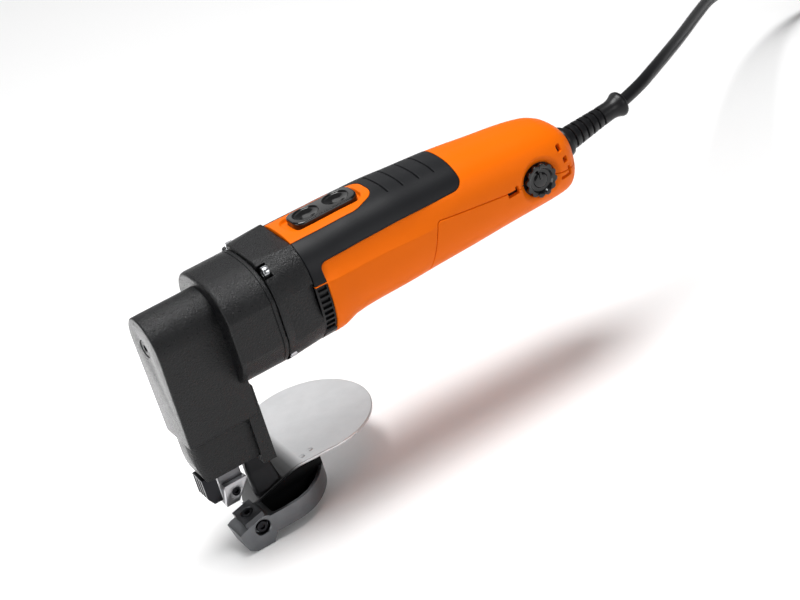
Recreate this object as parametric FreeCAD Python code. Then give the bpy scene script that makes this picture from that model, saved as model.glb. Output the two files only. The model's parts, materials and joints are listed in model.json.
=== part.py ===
import FreeCAD, Part
import math, os
from FreeCAD import Vector as V, Placement, Rotation

# Corded sheet-metal shear (slitting shear), millimetres.
# Tool coordinates while modelling: X runs from the head's front face back along the
# motor, Y across (the lower blade is on the -Y side), Z up.  Everything is moved at the
# end so that the origin lies on the sole of the lower blade holder and Z = 0 is the
# surface that the sole rests on.

# ---------------------------------------------------------------- driving dimensions
SOLE_Z = -121.0                 # underside of the lower holder, tool coordinates
ORG = V(18.0, -12.0, SOLE_Z)    # row origin, tool coordinates
DRIVE_Z = 6.5                   # height of the motor and eccentric axis

HEAD_R = 17.8                   # radius of the head's round top
HEAD_ZC = 11.6                  # centre of that radius
HEAD_LEN = 42.5                 # front face to rear face
HEAD_BOT = -72.0                # underside of the head
HEAD_STEP_Z = -48.0             # where the head narrows
HEAD_WALL = 3.6
COLLAR_X0, COLLAR_X1 = 37.2, 65.1
GEARBOX_X1 = 88.0
BODY_X1 = 266.0
WALL = 3.0                      # moulded shell thickness
PAD_T = 1.4                     # soft grip thickness

ECC = 2.5                       # eccentricity, half the stroke
STROKE = 2 * ECC
PIN_R = 4.0                     # eccentric pin
RING_R = 6.5                    # outside of the bearing ring on the pin
SHEAR_Y = -4.0                  # plane where the blades pass
BLADE_GAP = 0.3

DISC_R = 38.2                   # deflector plate
DISC_C = (82.4, 32.9)
DISC_Z = -95.4                  # its upper face
PLATE_T = 1.6
RIVETS = ((62.5, 1.6), (68.8, 3.6))

N_MOTOR, N_MID_BIG, MOD1 = 8, 34, 0.70
N_MID_SMALL, N_OUT, MOD2 = 8, 20, 1.05
MID_DZ = MOD1 * (N_MOTOR + N_MID_BIG) / 2.0     # 14.7, same for both stages

SW_TRAVEL = 5.0                 # slide switch
DIAL_R = 9.8
DIAL_X, DIAL_Z = 234.2, 3.2

CORD_D = 7.3                    # rubber-sheathed lead
COIL_C = (622.5, 152.5)
COIL_RI, COIL_RO, COIL_H = 27.2, 57.0, 29.6

OUT = "parts"
os.makedirs(OUT, exist_ok=True)
NODES = {}

# ---------------------------------------------------------------- helpers
def box(x0, x1, y0, y1, z0, z1):
    return Part.makeBox(x1 - x0, y1 - y0, z1 - z0, V(x0, y0, z0))

def cylx(r, x0, x1, y=0.0, z=0.0):
    return Part.makeCylinder(r, x1 - x0, V(x0, y, z), V(1, 0, 0))

def cyly(r, y0, y1, x=0.0, z=0.0):
    return Part.makeCylinder(r, y1 - y0, V(x, y0, z), V(0, 1, 0))

def cylz(r, z0, z1, x=0.0, y=0.0):
    return Part.makeCylinder(r, z1 - z0, V(x, y, z0), V(0, 0, 1))

def tube(r0, r1, x0, x1, y=0.0, z=0.0):
    return cylx(r1, x0, x1, y, z).cut(cylx(r0, x0 - 1, x1 + 1, y, z))

def prism(pts, vec):
    """Closed straight-sided outline pushed along vec."""
    w = Part.makePolygon([V(*p) for p in pts] + [V(*pts[0])])
    return Part.Face(w).extrude(V(*vec))

def fuse(shapes):
    s = shapes[0]
    return s.fuse(shapes[1:]).removeSplitter() if len(shapes) > 1 else s

def comp(shapes):
    return Part.makeCompound(shapes)

def put(name, shape):
    sol = shape.Solids
    if not sol:
        raise RuntimeError(name + " has no solid")
    bad = [i for i, s in enumerate(sol) if not s.isValid() or s.Volume < 0.5]
    shape = sol[0] if len(sol) == 1 else Part.makeCompound(sol)
    NODES[name] = shape
    bb = shape.BoundBox
    print("%-22s solids %2d vol %10.1f  x %.1f..%.1f y %.1f..%.1f z %.1f..%.1f%s" % (
        name, len(sol), shape.Volume, bb.XMin, bb.XMax, bb.YMin, bb.YMax, bb.ZMin, bb.ZMax,
        "  BAD %s" % bad if bad else ""))

def rounded(shape, r, pick):
    """Fillet the picked edges, or leave the shape as it is if the kernel can't."""
    try:
        e = [x for x in shape.Edges if pick(x)]
        return shape.makeFillet(r, e) if e else shape
    except Exception:
        return shape

def spow(v, p):
    return math.copysign(abs(v) ** p, v)

def section(x, w, zc, bt, bb, pt=2.5, pb=2.5, inset=0.0, n=40):
    """Closed smooth cross-section: half-width w, height bt above and bb below zc."""
    pts = []
    for i in range(n):
        a = 2 * math.pi * i / n
        c, s = math.cos(a), math.sin(a)
        p, b = (pt, bt) if s >= 0 else (pb, bb)
        pts.append(V(x, (w - inset) * spow(c, 2.0 / p), zc + (b - inset) * spow(s, 2.0 / p)))
    bs = Part.BSplineCurve()
    bs.interpolate(pts, PeriodicFlag=True)
    return Part.Wire([bs.toShape()])

def loft(secs):
    return Part.makeLoft(secs, True, False)

# stations of the motor body: x, half-width, centre z, half-height
BODY = [
    (88.0, 31.2, 6.0, 31.8, 32.4), (100.0, 31.6, 6.0, 31.6, 31.8), (112.0, 30.4, 7.4, 30.2, 29.9),
    (124.0, 29.8, 7.9, 29.8, 29.5), (145.0, 29.4, 7.9, 29.4, 29.2), (165.0, 28.4, 7.5, 28.4, 28.2),
    (191.0, 27.1, 6.9, 27.1, 27.1), (215.0, 25.4, 5.7, 25.4, 25.2), (235.0, 24.0, 4.7, 24.0, 24.0),
    (250.0, 22.3, 3.3, 22.3, 21.9), (257.0, 20.0, 2.5, 20.0, 19.4), (262.0, 16.0, 2.3, 16.0, 15.4),
    (264.8, 12.0, 2.3, 12.0, 11.6), (266.0, 9.6, 2.4, 9.6, 9.4)]

def body_solid(inset, x0=None, x1=None):
    secs = []
    for (x, w, zc, bt, bb) in BODY:
        xx = x
        if x1 is not None and x > x1:
            continue
        secs.append(section(xx, w, zc, bt, bb, inset=inset))
    return loft(secs)

def body_at(x):
    for a, b in zip(BODY, BODY[1:]):
        if a[0] <= x <= b[0]:
            t = (x - a[0]) / (b[0] - a[0])
            return [p + (q - p) * t for p, q in zip(a[1:], b[1:])]
    return list(BODY[-1][1:])

# ---------------------------------------------------------------- gears
def inv(a):
    return math.tan(a) - a

def gear(n, m, width, x0, yc, zc, tooth_at, bore, thin=0.80, add=0.78):
    """Spur gear with involute flanks; one tooth is centred at the angle tooth_at (YZ plane)."""
    rp = m * n / 2.0
    rb = rp * math.cos(math.radians(20))
    rt, rr = rp + add * m, rp - 1.2 * m
    half_p = math.pi / (2 * n) * thin
    def ang(r):
        if r < rb:
            r = rb
        return half_p + inv(math.radians(20)) - inv(math.acos(rb / r))
    pts = []
    for k in range(n):
        c = tooth_at + 2 * math.pi * k / n
        rs = [rr] + [max(rb, rr) + (rt - max(rb, rr)) * t for t in (0.0, 0.35, 0.7, 1.0)]
        if rr >= rb:
            rs = rs[1:]
        for r in rs:
            pts.append((r, c - ang(r)))
        for r in reversed(rs):
            pts.append((r, c + ang(r)))
    poly = [(x0, yc + r * math.cos(a), zc + r * math.sin(a)) for r, a in pts]
    g = prism(poly, (width, 0, 0))
    if bore:
        g = g.cut(cylx(bore, x0 - 1, x0 + width + 1, yc, zc))
    return g

def ball_bearing(ri, ro, x0, w, y, z, n=8):
    t = (ro - ri)
    rm = (ri + ro) / 2.0
    rball = t * 0.27
    inner = tube(ri, ri + t * 0.24, x0, x0 + w, y, z)
    outer = tube(ro - t * 0.24, ro, x0, x0 + w, y, z)
    balls = []
    for i in range(n):
        a = 2 * math.pi * i / n
        balls.append(Part.makeSphere(rball * 0.93, V(x0 + w / 2.0, y + rm * math.cos(a), z + rm * math.sin(a))))
    return [inner, outer] + balls

def socket_screw(p, d, head_r, head_l, shank_r, length, sock=None):
    """Cap screw: head starts at p and rises against d, the shank runs along d."""
    d = V(*d); d.normalize(); p = V(*p)
    s = Part.makeCylinder(head_r, head_l, p, d * -1).fuse(Part.makeCylinder(shank_r, length, p - d * 0.2, d))
    sk = sock or head_r * 0.55
    hexa = []
    u = d.cross(V(0, 0, 1))
    if u.Length < 1e-3:
        u = d.cross(V(0, 1, 0))
    u.normalize(); v = d.cross(u)
    top = p - d * head_l
    for i in range(6):
        a = math.pi / 3 * i
        hexa.append(top + u * (sk * math.cos(a)) + v * (sk * math.sin(a)))
    w = Part.makePolygon(hexa + [hexa[0]])
    return s.cut(Part.Face(w).extrude(d * (head_l * 0.6)))

# ================================================================ head
def head_outline(x, r, half_mid, half_low, bot, zc=HEAD_ZC, step=HEAD_STEP_Z, far_low=None, far_bot=None):
    """Tombstone outline in the plane X = x: round top, tapering sides, narrower foot."""
    a = math.radians(4)
    far_low = half_low if far_low is None else far_low
    far_bot = far_low if far_bot is None else far_bot
    pt = lambda y, z: V(x, y, z)
    e = []
    top = Part.Arc(pt(r * math.cos(a), zc - r * math.sin(a)), pt(0, zc + r), pt(-r * math.cos(a), zc - r * math.sin(a)))
    e.append(top.toShape())
    L = [(-r * math.cos(a), zc - r * math.sin(a)), (-half_mid, step + 5.5), (-half_low, step),
         (-half_low, bot), (far_bot, bot), (far_low, step), (half_mid, step + 5.5),
         (r * math.cos(a), zc - r * math.sin(a))]
    for p, q in zip(L, L[1:]):
        e.append(Part.LineSegment(pt(*p), pt(*q)).toShape())
    return Part.Wire(e)

head = Part.Face(head_outline(0, HEAD_R, 15.0, 12.4, HEAD_BOT, far_low=10.0, far_bot=7.0)).extrude(V(HEAD_LEN, 0, 0))
# the foot's front lower edge is drawn back a little
cutter = box(-5, 12, -30, 30, -90, -52.0).cut(cyly(62.0, -31, 31, 62.0, -52.0))
head = head.cut(cutter)
# rear strip that runs down past the foot
head = head.fuse(box(36.6, 43.8, -14.5, 8.4, -77.0, -40.0))
head = rounded(head, 1.1, lambda e: abs(e.BoundBox.XMin) < 1e-4 and abs(e.BoundBox.XMax) < 1e-4)
# boss that enters the collar
head = head.fuse(cylx(27.5, HEAD_LEN - 4.5, 49.0, 0, DRIVE_Z - 2.5))
# crank chamber and ram channel
chamber = Part.Face(head_outline(HEAD_WALL, HEAD_R - HEAD_WALL, 11.6, 8.6, -30.0, step=-22.0)).extrude(V(26.0, 0, 0))
head = head.cut(chamber)
head = head.cut(box(8.2, 30.2, -5.2, 5.2, -80, -20))
head = head.cut(cylx(14.7, 27.6, 36.0, 0, DRIVE_Z)).cut(cylx(16.0, 35.2, 55.0, 0, DRIVE_Z))
head = head.cut(cylx(5.2, -1, HEAD_WALL + 1, 0, HEAD_ZC))
for sy in (-1, 1):
    for sz in (-1, 1):
        head = head.cut(cylx(2.1, 36.0, 52.0, sy * 15.9, DRIVE_Z - 2.5 + sz * 15.9))
# pocket for the foot of the lower holder
head = head.cut(box(31.2, 36.0, -6.3, 6.3, -80, -52.0))
head = head.cut(box(31.2, 43.9, -1.6, 8.6, -80, -71.9))
for z in (-58.0, -67.0):
    head = head.cut(cylx(2.1, 35.0, 45.0, -2.0, z))
put("head_housing", head)

put("head_front_plug", cylx(5.15, 0.25, 3.2, 0, HEAD_ZC).cut(cylx(1.9, -0.5, 1.4, 0, HEAD_ZC)))

put("head_screws", comp([socket_screw((49.05, sy * 15.9, DRIVE_Z - 2.5 + sz * 15.9), (-1, 0, 0), 3.4, 3.6, 1.95, 10.2)
                         for sy in (-1, 1) for sz in (-1, 1)]))

# ================================================================ collar
def csec(x, ins, inset=0.0):
    return section(x, 32.5 - ins, 4.6, 29.9 - ins, 33.6 - ins, 2.6, 2.1, inset)
collar = loft([csec(37.2, 1.5), csec(37.9, 0.5), csec(39.0, 0.0), csec(50.0, 0.0), csec(60.0, 0.0), csec(COLLAR_X1, 0.0)])
collar = collar.cut(cylx(27.9, 30, 55.5, 0, DRIVE_Z - 2.5))
collar = collar.cut(cylx(24.0, 30, 70, 0, DRIVE_Z - 2.5))
collar = collar.cut(Part.Face(head_outline(30, HEAD_R + 0.3, 15.4, 12.3, HEAD_BOT - 20)).extrude(V(12.6, 0, 0)))
put("collar", collar)

# ================================================================ gear housing
def gsec(x, k, inset=0.0):
    w = 32.0 + (31.2 - 32.0) * k
    return section(x, w, 5.2 + 0.8 * k, 31.0 + 0.8 * k, 33.4 - 1.0 * k, 3.1, 2.4, inset)
gh = loft([gsec(COLLAR_X1 + 0.3, 0.0), gsec(72.0, 0.3), gsec(80.0, 0.65), gsec(GEARBOX_X1, 1.0)])
ghi = loft([gsec(69.5, 0.2, 3.4), gsec(76.0, 0.5, 3.4), gsec(82.0, 0.75, 3.4), gsec(GEARBOX_X1 + 1.0, 1.0, 3.4)])
gh = gh.cut(ghi)
SCREW_YZ = [(20.3, 30.4), (-20.3, 30.4), (20.3, -18.6), (-20.3, -18.6)]
for (y, z) in SCREW_YZ:
    sgn = 1 if y > 0 else -1
    szn = 1 if z > 0 else -1
    # screw column inside, pocket for the head outside
    col = cylx(5.2, 70.0, GEARBOX_X1, sgn * 19.2, z - szn * 2.8).common(loft([gsec(69.0, 0.2, 0.5), gsec(GEARBOX_X1 + 1.0, 1.0, 0.5)]))
    gh = gh.fuse(col)
    gh = gh.cut(cylx(5.3, 60.0, 70.42, y, z + szn * 1.6))
    gh = gh.cut(cylx(2.15, 60.0, 95.0, y, z))
# side relief below the shoulder line
for s in (-1, 1):
    y0, y1 = (-40, -31.0) if s < 0 else (31.0, 40)
    gh = gh.cut(box(70.2, GEARBOX_X1 + 1, y0, y1, -14.0, 17.0))
gh = gh.cut(cylx(10.5, 60, 75, 0, DRIVE_Z))
gh = gh.cut(cylx(2.55, 60, 72, 0, DRIVE_Z - MID_DZ))
put("gear_housing", gh)

put("gear_housing_screws", comp([socket_screw((70.4, y, z), (1, 0, 0), 3.5, 3.6, 2.1, 24.0) for (y, z) in SCREW_YZ]))

# bearing plate between the gears and the motor
bp = loft([section(88.4, 27.9, 6.0, 28.6, 29.2), section(95.2, 27.9, 6.0, 28.3, 28.6)])
bp = bp.cut(cylx(11.0, 80, 99, 0, DRIVE_Z)).cut(cylx(2.55, 80, 92.6, 0, DRIVE_Z - MID_DZ))
bp = bp.cut(cylx(18.5, 91.6, 99, 0, DRIVE_Z).cut(cylx(14.0, 80, 99, 0, DRIVE_Z)).cut(box(80, 99, -40, 40, -40, DRIVE_Z + 3)))
for (y, z) in SCREW_YZ:
    bp = bp.cut(cylx(2.15, 80, 99, y, z))
put("bearing_plate", bp)

# ================================================================ gear train and crank
zf, zi = DRIVE_Z, DRIVE_Z - MID_DZ
DOWN, UP = -math.pi / 2, math.pi / 2
put("motor_pinion", gear(N_MOTOR, MOD1, 7.4, 81.6, 0, zf, DOWN, 0).fuse(cylx(1.9, 81.6, 89.0, 0, zf)).cut(cylx(1.2, 81.0, 90, 0, zf)))
put("intermediate_gear", gear(N_MID_BIG, MOD1, 6.2, 81.8, 0, zi, UP + math.pi / N_MID_BIG, 4.0))
put("intermediate_pinion", gear(N_MID_SMALL, MOD2, 8.4, 70.4, 0, zi, UP, 0, thin=0.78).fuse(cylx(2.9, 70.4, 78.8, 0, zi)).cut(cylx(2.4, 60, 90, 0, zi)))
# the shaft is turned down where the pinion sits
ish = fuse([cylx(2.48, 65.8, 70.2, 0, zi), cylx(2.4, 69.0, 79.4, 0, zi), cylx(4.0, 79.2, 88.0, 0, zi), cylx(2.48, 87.8, 92.2, 0, zi), cylx(6.2, 79.2, 81.4, 0, zi)])
put("intermediate_shaft", ish)
put("output_gear", gear(N_OUT, MOD2, 8.0, 70.6, 0, zf, DOWN + math.pi / N_OUT, 6.0, thin=0.78))

cr = fuse([cylx(6.0, 28.6, 80.8, 0, zf), cylx(9.0, 28.0, 34.6, 0, zf), cylx(PIN_R, 12.4, 28.2, 0, zf + ECC)])
cr = cr.fuse(box(28.0, 34.6, -7.5, 7.5, zf - 15.0, zf - 2.0).common(cylx(14.0, 28.0, 34.6, 0, zf)))
put("eccentric_shaft", cr)
put("eccentric_ring", comp([tube(PIN_R, PIN_R + 0.9, 13.2, 25.0, 0, zf + ECC), tube(RING_R - 1.0, RING_R, 13.2, 25.0, 0, zf + ECC)] +
                           [cylx(0.28, 13.8, 24.4, 5.2 * math.cos(2 * math.pi * i / 14), zf + ECC + 5.2 * math.sin(2 * math.pi * i / 14)) for i in range(14)]))
put("front_bearing", comp(ball_bearing(6.03, 16.0, 35.2, 10.0, 0, zf)))
put("rear_bearing", comp(ball_bearing(6.03, 10.5, 64.4, 5.0, 0, zf)))
sp = tube(6.0, 7.6, 45.6, 64.0, 0, zf)
put("bearing_spacer", sp)
put("output_gear_ring", tube(6.0, 7.6, 79.4, 80.4, 0, zf))

# ================================================================ ram and upper blade
ram_out = head_outline(12.6, 12.2, 11.2, 4.9, -72.0, zc=zf + STROKE, step=-16.5)
ram = Part.Face(ram_out).extrude(V(13.6, 0, 0))
# window for the eccentric ring: the ring's whole orbit, at both ends of the stroke
win_r = RING_R + ECC + 0.4
ram = ram.cut(fuse([cylx(win_r, 12, 27, 0, zf), cylx(win_r, 12, 27, 0, zf + STROKE), box(12, 27, -win_r, win_r, zf, zf + STROKE)]))
low = box(12.6, 26.2, -0.5, 4.9, -86.0, -71.5)
# blade seat: the block behind the upper blade
seat = prism([(12.6, -0.5, -85.2), (11.4, -0.5, -97.0), (19.3, -0.5, -97.0), (27.0, -0.5, -87.0), (27.0, -0.5, -85.2)], (0, 5.4, 0))
ram = ram.fuse([low, seat])
ram = ram.cut(cyly(2.5, -3, 8, 19.4, -91.4))
ram = ram.cut(box(11.0, 13.2, 1.6, 4.2, -95.0, -80.0))
put("ram", ram)
ub = prism([(13.7, SHEAR_Y + BLADE_GAP, -85.2), (11.4, SHEAR_Y + BLADE_GAP, -97.3), (19.3, SHEAR_Y + BLADE_GAP, -97.3),
            (27.2, SHEAR_Y + BLADE_GAP, -86.9), (27.2, SHEAR_Y + BLADE_GAP, -85.2)], (0, -0.5 - (SHEAR_Y + BLADE_GAP), 0))
ub = ub.cut(cyly(2.6, -5, 1, 19.4, -91.4))
ub = ub.cut(Part.makeCone(3.9, 2.6, 1.3, V(19.4, SHEAR_Y + BLADE_GAP - 0.01, -91.4), V(0, 1, 0)))
put("upper_blade", ub)
us = Part.makeCone(3.75, 2.45, 1.3, V(19.4, SHEAR_Y + BLADE_GAP + 0.12, -91.4), V(0, 1, 0)).fuse(cyly(2.45, SHEAR_Y + BLADE_GAP + 1.3, 5.3, 19.4, -91.4))
us = us.cut(Part.Face(Part.makePolygon([V(19.4 + 2.0 * math.cos(a), SHEAR_Y + BLADE_GAP, -91.4 + 2.0 * math.sin(a)) for a in [math.pi / 3 * i for i in range(7)]])).extrude(V(0, 2.2, 0)))
put("upper_blade_screw", us)

# bronze guide strips either side of the ram, pressed into the head
put("ram_guide_strips", comp([box(8.2, 12.55, -5.2, 5.2, -70.5, -30.2), box(26.25, 30.2, -5.2, 5.2, -70.5, -30.2)]))
# ribbed guard under the foot, in front of the ram
sg = box(1.6, 9.6, -8.0, 4.4, -89.0, -72.0)
for gy in (-5.6, -2.2, 1.2):
    sg = sg.cut(box(0.0, 2.8, gy, gy + 1.5, -90, -71))
sg = sg.cut(prism([(-1, -9, -89.5), (4.4, -9, -89.5), (-1, -9, -80.0)], (0, 20, 0)))
put("ram_guard", sg)

# ================================================================ lower holder
NOSE = [(11.7, -104.9), (7.7, -107.1), (10.2, -118.0), (14.5, SOLE_Z), (25.5, SOLE_Z), (29.3, -114.9), (27.2, -103.6), (24.0, -102.4)]
NY0, NY1 = -20.4, -4.0
nose = prism([(x, NY0, z) for x, z in NOSE], (0, NY1 - NY0, 0))
# cast arm: curved in plan, from the nose round to the rear of the plate
ARM_NEAR = [(26.0, -20.4), (38.0, -20.9), (46.5, -20.3), (55.0, -17.4), (63.2, -11.2), (69.4, -3.6), (73.5, 4.5), (75.2, 13.0)]
def spl(pts, z):
    b = Part.BSplineCurve(); b.interpolate([V(x, y, z) for x, y in pts]); return b.toShape()
def arm_face(z, grow=0.0):
    e = spl([(x, y) for x, y in ARM_NEAR], z)
    a, b = V(75.2, 13.0, z), V(26.0, -20.4, z)
    rest = [V(75.2, 13.0, z), V(64.0, 13.0, z), V(46.0, 3.6, z), V(26.0, 3.6, z), V(26.0, -20.4, z)]
    ed = [e] + [Part.LineSegment(p, q).toShape() for p, q in zip(rest, rest[1:])]
    return Part.Face(Part.Wire(ed))
arm = arm_face(-115.4).extrude(V(0, 0, 11.2))
pocket_pts = [(30.5, -17.6), (46.0, -17.2), (53.4, -14.6), (60.6, -9.2), (63.0, -6.2), (60.0, -4.4), (30.5, -4.4)]
arm = arm.cut(prism([(x, y, -113.0) for x, y in pocket_pts], (0, 0, 11.0)))
wall = prism([(27.0, -4.0, -105.0), (57.0, -4.0, -105.0), (72.0, 0.0, -105.0), (72.0, 6.0, -105.0), (56.0, 2.6, -105.0), (27.0, 2.6, -105.0)], (0, 0, 12.0))
def ramp_z(x):
    """Height of the plate's upper face along X: an S-shaped rise behind the lower blade."""
    t = max(0.0, min(1.0, (x - 25.0) / 32.0))
    return -103.2 + (DISC_Z + 103.2) * (t * t * (3 - 2 * t) * 0.55 + 0.45 * t)
def ramp_solid(dz0, dz1, y0, y1, x0, x1):
    xs = [x0 + (x1 - x0) * i / 10.0 for i in range(11)]
    top = Part.BSplineCurve(); top.interpolate([V(x, y0, ramp_z(x) + dz1) for x in xs])
    bot = Part.BSplineCurve(); bot.interpolate([V(x, y0, ramp_z(x) + dz0) for x in xs])
    ed = [top.toShape(), Part.LineSegment(V(x1, y0, ramp_z(x1) + dz1), V(x1, y0, ramp_z(x1) + dz0)).toShape(),
          bot.toShape(), Part.LineSegment(V(x0, y0, ramp_z(x0) + dz1), V(x0, y0, ramp_z(x0) + dz0)).toShape()]
    return Part.Face(Part.Wire(Part.__sortEdges__(ed))).extrude(V(0, y1 - y0, 0))
wall = wall.cut(ramp_solid(-PLATE_T - 0.02, 30, -20, 40, 20.0, 80.0))
# web that carries the holder up through the cut to the head: twisted strut
def quad(z, pts):
    return Part.makePolygon([V(x, y, z) for x, y in pts] + [V(pts[0][0], pts[0][1], z)])
web = Part.makeLoft([quad(-104.0, [(30.0, -3.2), (57.0, -3.8), (57.0, 2.2), (30.0, 2.6)]),
                     quad(-88.0, [(29.0, 0.2), (50.0, -1.0), (50.0, 5.4), (29.0, 6.4)]),
                     quad(-77.0, [(28.0, 0.4), (44.0, -0.4), (44.0, 7.6), (28.0, 8.0)]),
                     quad(-72.3, [(31.6, -1.2), (43.6, -1.2), (43.6, 8.0), (31.6, 8.2)])], True, True)
tang = box(31.4, 35.8, -6.0, 6.0, -76.0, -53.0)
for z in (-58.0, -67.0):
    tang = tang.cut(cylx(2.05, 30.0, 37.0, -2.0, z))
holder = fuse([nose, arm, wall, web, tang])
holder = holder.cut(ramp_solid(-PLATE_T - 0.02, 0.02, -4.3, 22.0, 22.0, 60.0).common(box(20, 60, -5, 3.0, -110, -90)))
# lower blade seat, screw pockets
tilt = math.radians(13.5)
BL = dict(x0=12.5, z0=-101.9, len=11.8, t=3.2)
holder = holder.cut(cyly(4.9, -21, -16.8, 21.6, -108.9))
holder = holder.cut(cyly(2.05, -21, -6.0, 21.6, -108.9))
bn = V(math.cos(tilt), 0, math.sin(tilt)); bu = V(-math.sin(tilt), 0, math.cos(tilt))
bc = V(BL["x0"], 0, BL["z0"]) + bn * (BL["len"] / 2.0)
def blade_box(t0, t1, y0, y1, l0=0.0, l1=None):
    l1 = BL["len"] if l1 is None else l1
    o = V(BL["x0"], y0, BL["z0"])
    pts = [o + bn * l0 + bu * t0, o + bn * l1 + bu * t0, o + bn * l1 + bu * t1, o + bn * l0 + bu * t1]
    return Part.Face(Part.makePolygon(pts + [pts[0]])).extrude(V(0, y1 - y0, 0))
holder = holder.cut(blade_box(-BL["t"] - 0.0, 6.0, -21.0, 0.0, -3.0, BL["len"] + 0.15))
hole_c = V(bc.x, (NY0 + NY1) / 2.0, bc.z)
holder = holder.cut(Part.makeCylinder(2.0, 6.6, hole_c - bu * 6.6, bu))
for x, y in RIVETS:
    holder = holder.cut(cylz(1.65, DISC_Z - 8, DISC_Z + 2, x, y))
put("lower_holder", holder)

lb = blade_box(-BL["t"], 0.0, NY0 + 0.2, SHEAR_Y, 0.0, BL["len"])
lb = lb.cut(Part.makeCylinder(2.5, 20.0, hole_c - bu * 10.0, bu)).cut(Part.makeCone(2.5, 3.9, 1.4, hole_c - bu * 1.39, bu))
put("lower_blade", lb)
ls = Part.makeCone(2.3, 3.7, 1.4, hole_c - bu * 1.39, bu).fuse(Part.makeCylinder(1.95, 4.8, hole_c - bu * 6.2, bu))
ls = ls.cut(Part.makeCylinder(1.7, 3.0, hole_c - bu * 1.9, bu))
put("lower_blade_screw", ls)
put("blade_clamp_screw", socket_screw((21.6, -16.82, -108.9), (0, 1, 0), 3.2, 2.6, 1.95, 10.0, 1.8))

# deflector plate: ramp and round plate in one pressing
ramp = ramp_solid(-PLATE_T, 0.0, SHEAR_Y, 24.0, 23.8, 62.0)
plan = prism([(23.8, SHEAR_Y, -120), (60.0, SHEAR_Y, -120), (60.0, 24.0, -120), (50.0, 24.0, -120), (36.0, 14.0, -120), (24.6, 2.2, -120)], (0, 0, 40))
ramp = ramp.common(plan)
disc = cylz(DISC_R, DISC_Z - PLATE_T, DISC_Z, *DISC_C)
plate = disc.fuse(ramp.cut(cylz(DISC_R - 0.01, -130, -80, *DISC_C)))
webcut = Part.makeLoft([quad(-104.6, [(29.9, -3.3), (57.1, -3.9), (57.1, 2.3), (29.9, 2.7)]),
                        quad(-88.0, [(28.9, 0.1), (50.1, -1.1), (50.1, 5.5), (28.9, 6.5)])], True, True)
plate = plate.cut(webcut)
for x, y in RIVETS:
    plate = plate.cut(cylz(1.65, DISC_Z - 5, DISC_Z + 2, x, y))
put("deflector_plate", plate)
put("deflector_rivets", comp([cylz(1.6, DISC_Z - PLATE_T - 4.0, DISC_Z + 0.5, x, y) for x, y in RIVETS]))

put("holder_screws", comp([socket_screw((43.85, -2.0, z), (-1, 0, 0), 3.4, 1.9, 2.0, 9.4) for z in (-58.0, -67.0)]))

# ================================================================ motor body shells
outer = body_solid(0.0)
mid = body_solid(PAD_T)
inner = loft([section(x, w, zc, bt, bb, inset=WALL) for (x, w, zc, bt, bb) in
              [(80.0,) + BODY[0][1:]] + [b for b in BODY if b[0] < 262] + [(262.6, 15.0, 2.3, 15.0, 14.6)]])
shell = outer.cut(inner)
# rear lower cover: split plane falls towards the rear, front edge leans forward
def zsplit(x):
    return 13.4 - 0.153 * (x - 166.0)
def cover_zone(g):
    pts = [(166.9 + g, zsplit(166.9) - g), (280.0, zsplit(280.0) - g), (280.0, -40.0), (152.5 + g, -40.0), (158.8 + g, -9.0)]
    return prism([(x, -40, z) for x, z in pts], (0, 80, 0))
cover = shell.common(cover_zone(0.12))
upper = shell.cut(cover_zone(-0.12))
# soft pad: sunk into the top of the upper shell
pad_plan = [(88.2, -27.4), (120.0, -26.6), (150.0, -25.6), (172.0, -24.4), (181.0, -21.6), (186.0, -16.0), (188.4, -8.0),
            (188.8, 0.0), (188.4, 8.0), (186.0, 16.0), (181.0, 21.6), (172.0, 24.4), (150.0, 25.6), (120.0, 26.6), (88.2, 27.4)]
pad_zone = prism([(x, y, 14.0) for x, y in pad_plan], (0, 0, 40))
pad_zone = pad_zone.fuse([box(88.2, 95.2, -35, 35, 14.2, 40)])
isl = [(80.0, -15.8), (132.0, -15.4), (139.0, -13.6), (143.2, -9.0), (145.0, 0.0), (143.2, 9.0), (139.0, 13.6), (132.0, 15.4), (80.0, 15.8)]
island = prism([(x, y, 10.0) for x, y in isl], (0, 0, 50))
pad_zone = pad_zone.cut(island)
layer = outer.cut(mid)
pad = layer.common(pad_zone)
upper = upper.cut(pad)
for (y, z) in SCREW_YZ:
    pad = pad.cut(cylx(2.16, 80, 98, y, z))
put("grip_pad", pad)
# air inlets at the front of the shell
GR = []
for s in (-1, 1):
    y0, y1 = (-36, -22) if s < 0 else (22, 36)
    win = box(88.0, 95.8, y0, y1, -17.0, 13.4)
    GR.append(shell.common(box(88.4, 95.5, y0, y1, -16.7, 13.1)))
    upper = upper.cut(win)
grille = []
for g in GR:
    for k in range(7):
        z = -14.2 + k * 4.0
        g = g.cut(box(89.8, 94.2, -40, 40, z, z + 2.2))
    grille += g.Solids
put("air_grilles", comp(grille))
# switch bay, switch slot, button travel
upper = upper.cut(box(90.5, 140.5, -9.6, 9.6, 36.2, 45.0))
upper = upper.cut(box(103.0, 122.0, -3.6, 3.6, 30.0, 45.0))
# speed dial pocket
recess = cyly(12.6, -40, -22.0, DIAL_X, DIAL_Z)
def near_pocket(s, depth_y):
    return s.cut(cyly(12.6, -40, depth_y, DIAL_X, DIAL_Z))
upper = near_pocket(upper, -22.0)
cover = near_pocket(cover, -22.0)
upper = upper.cut(cyly(3.2, -40, -15.0, DIAL_X, DIAL_Z))
cover = cover.cut(cyly(3.2, -40, -15.0, DIAL_X, DIAL_Z))
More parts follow.
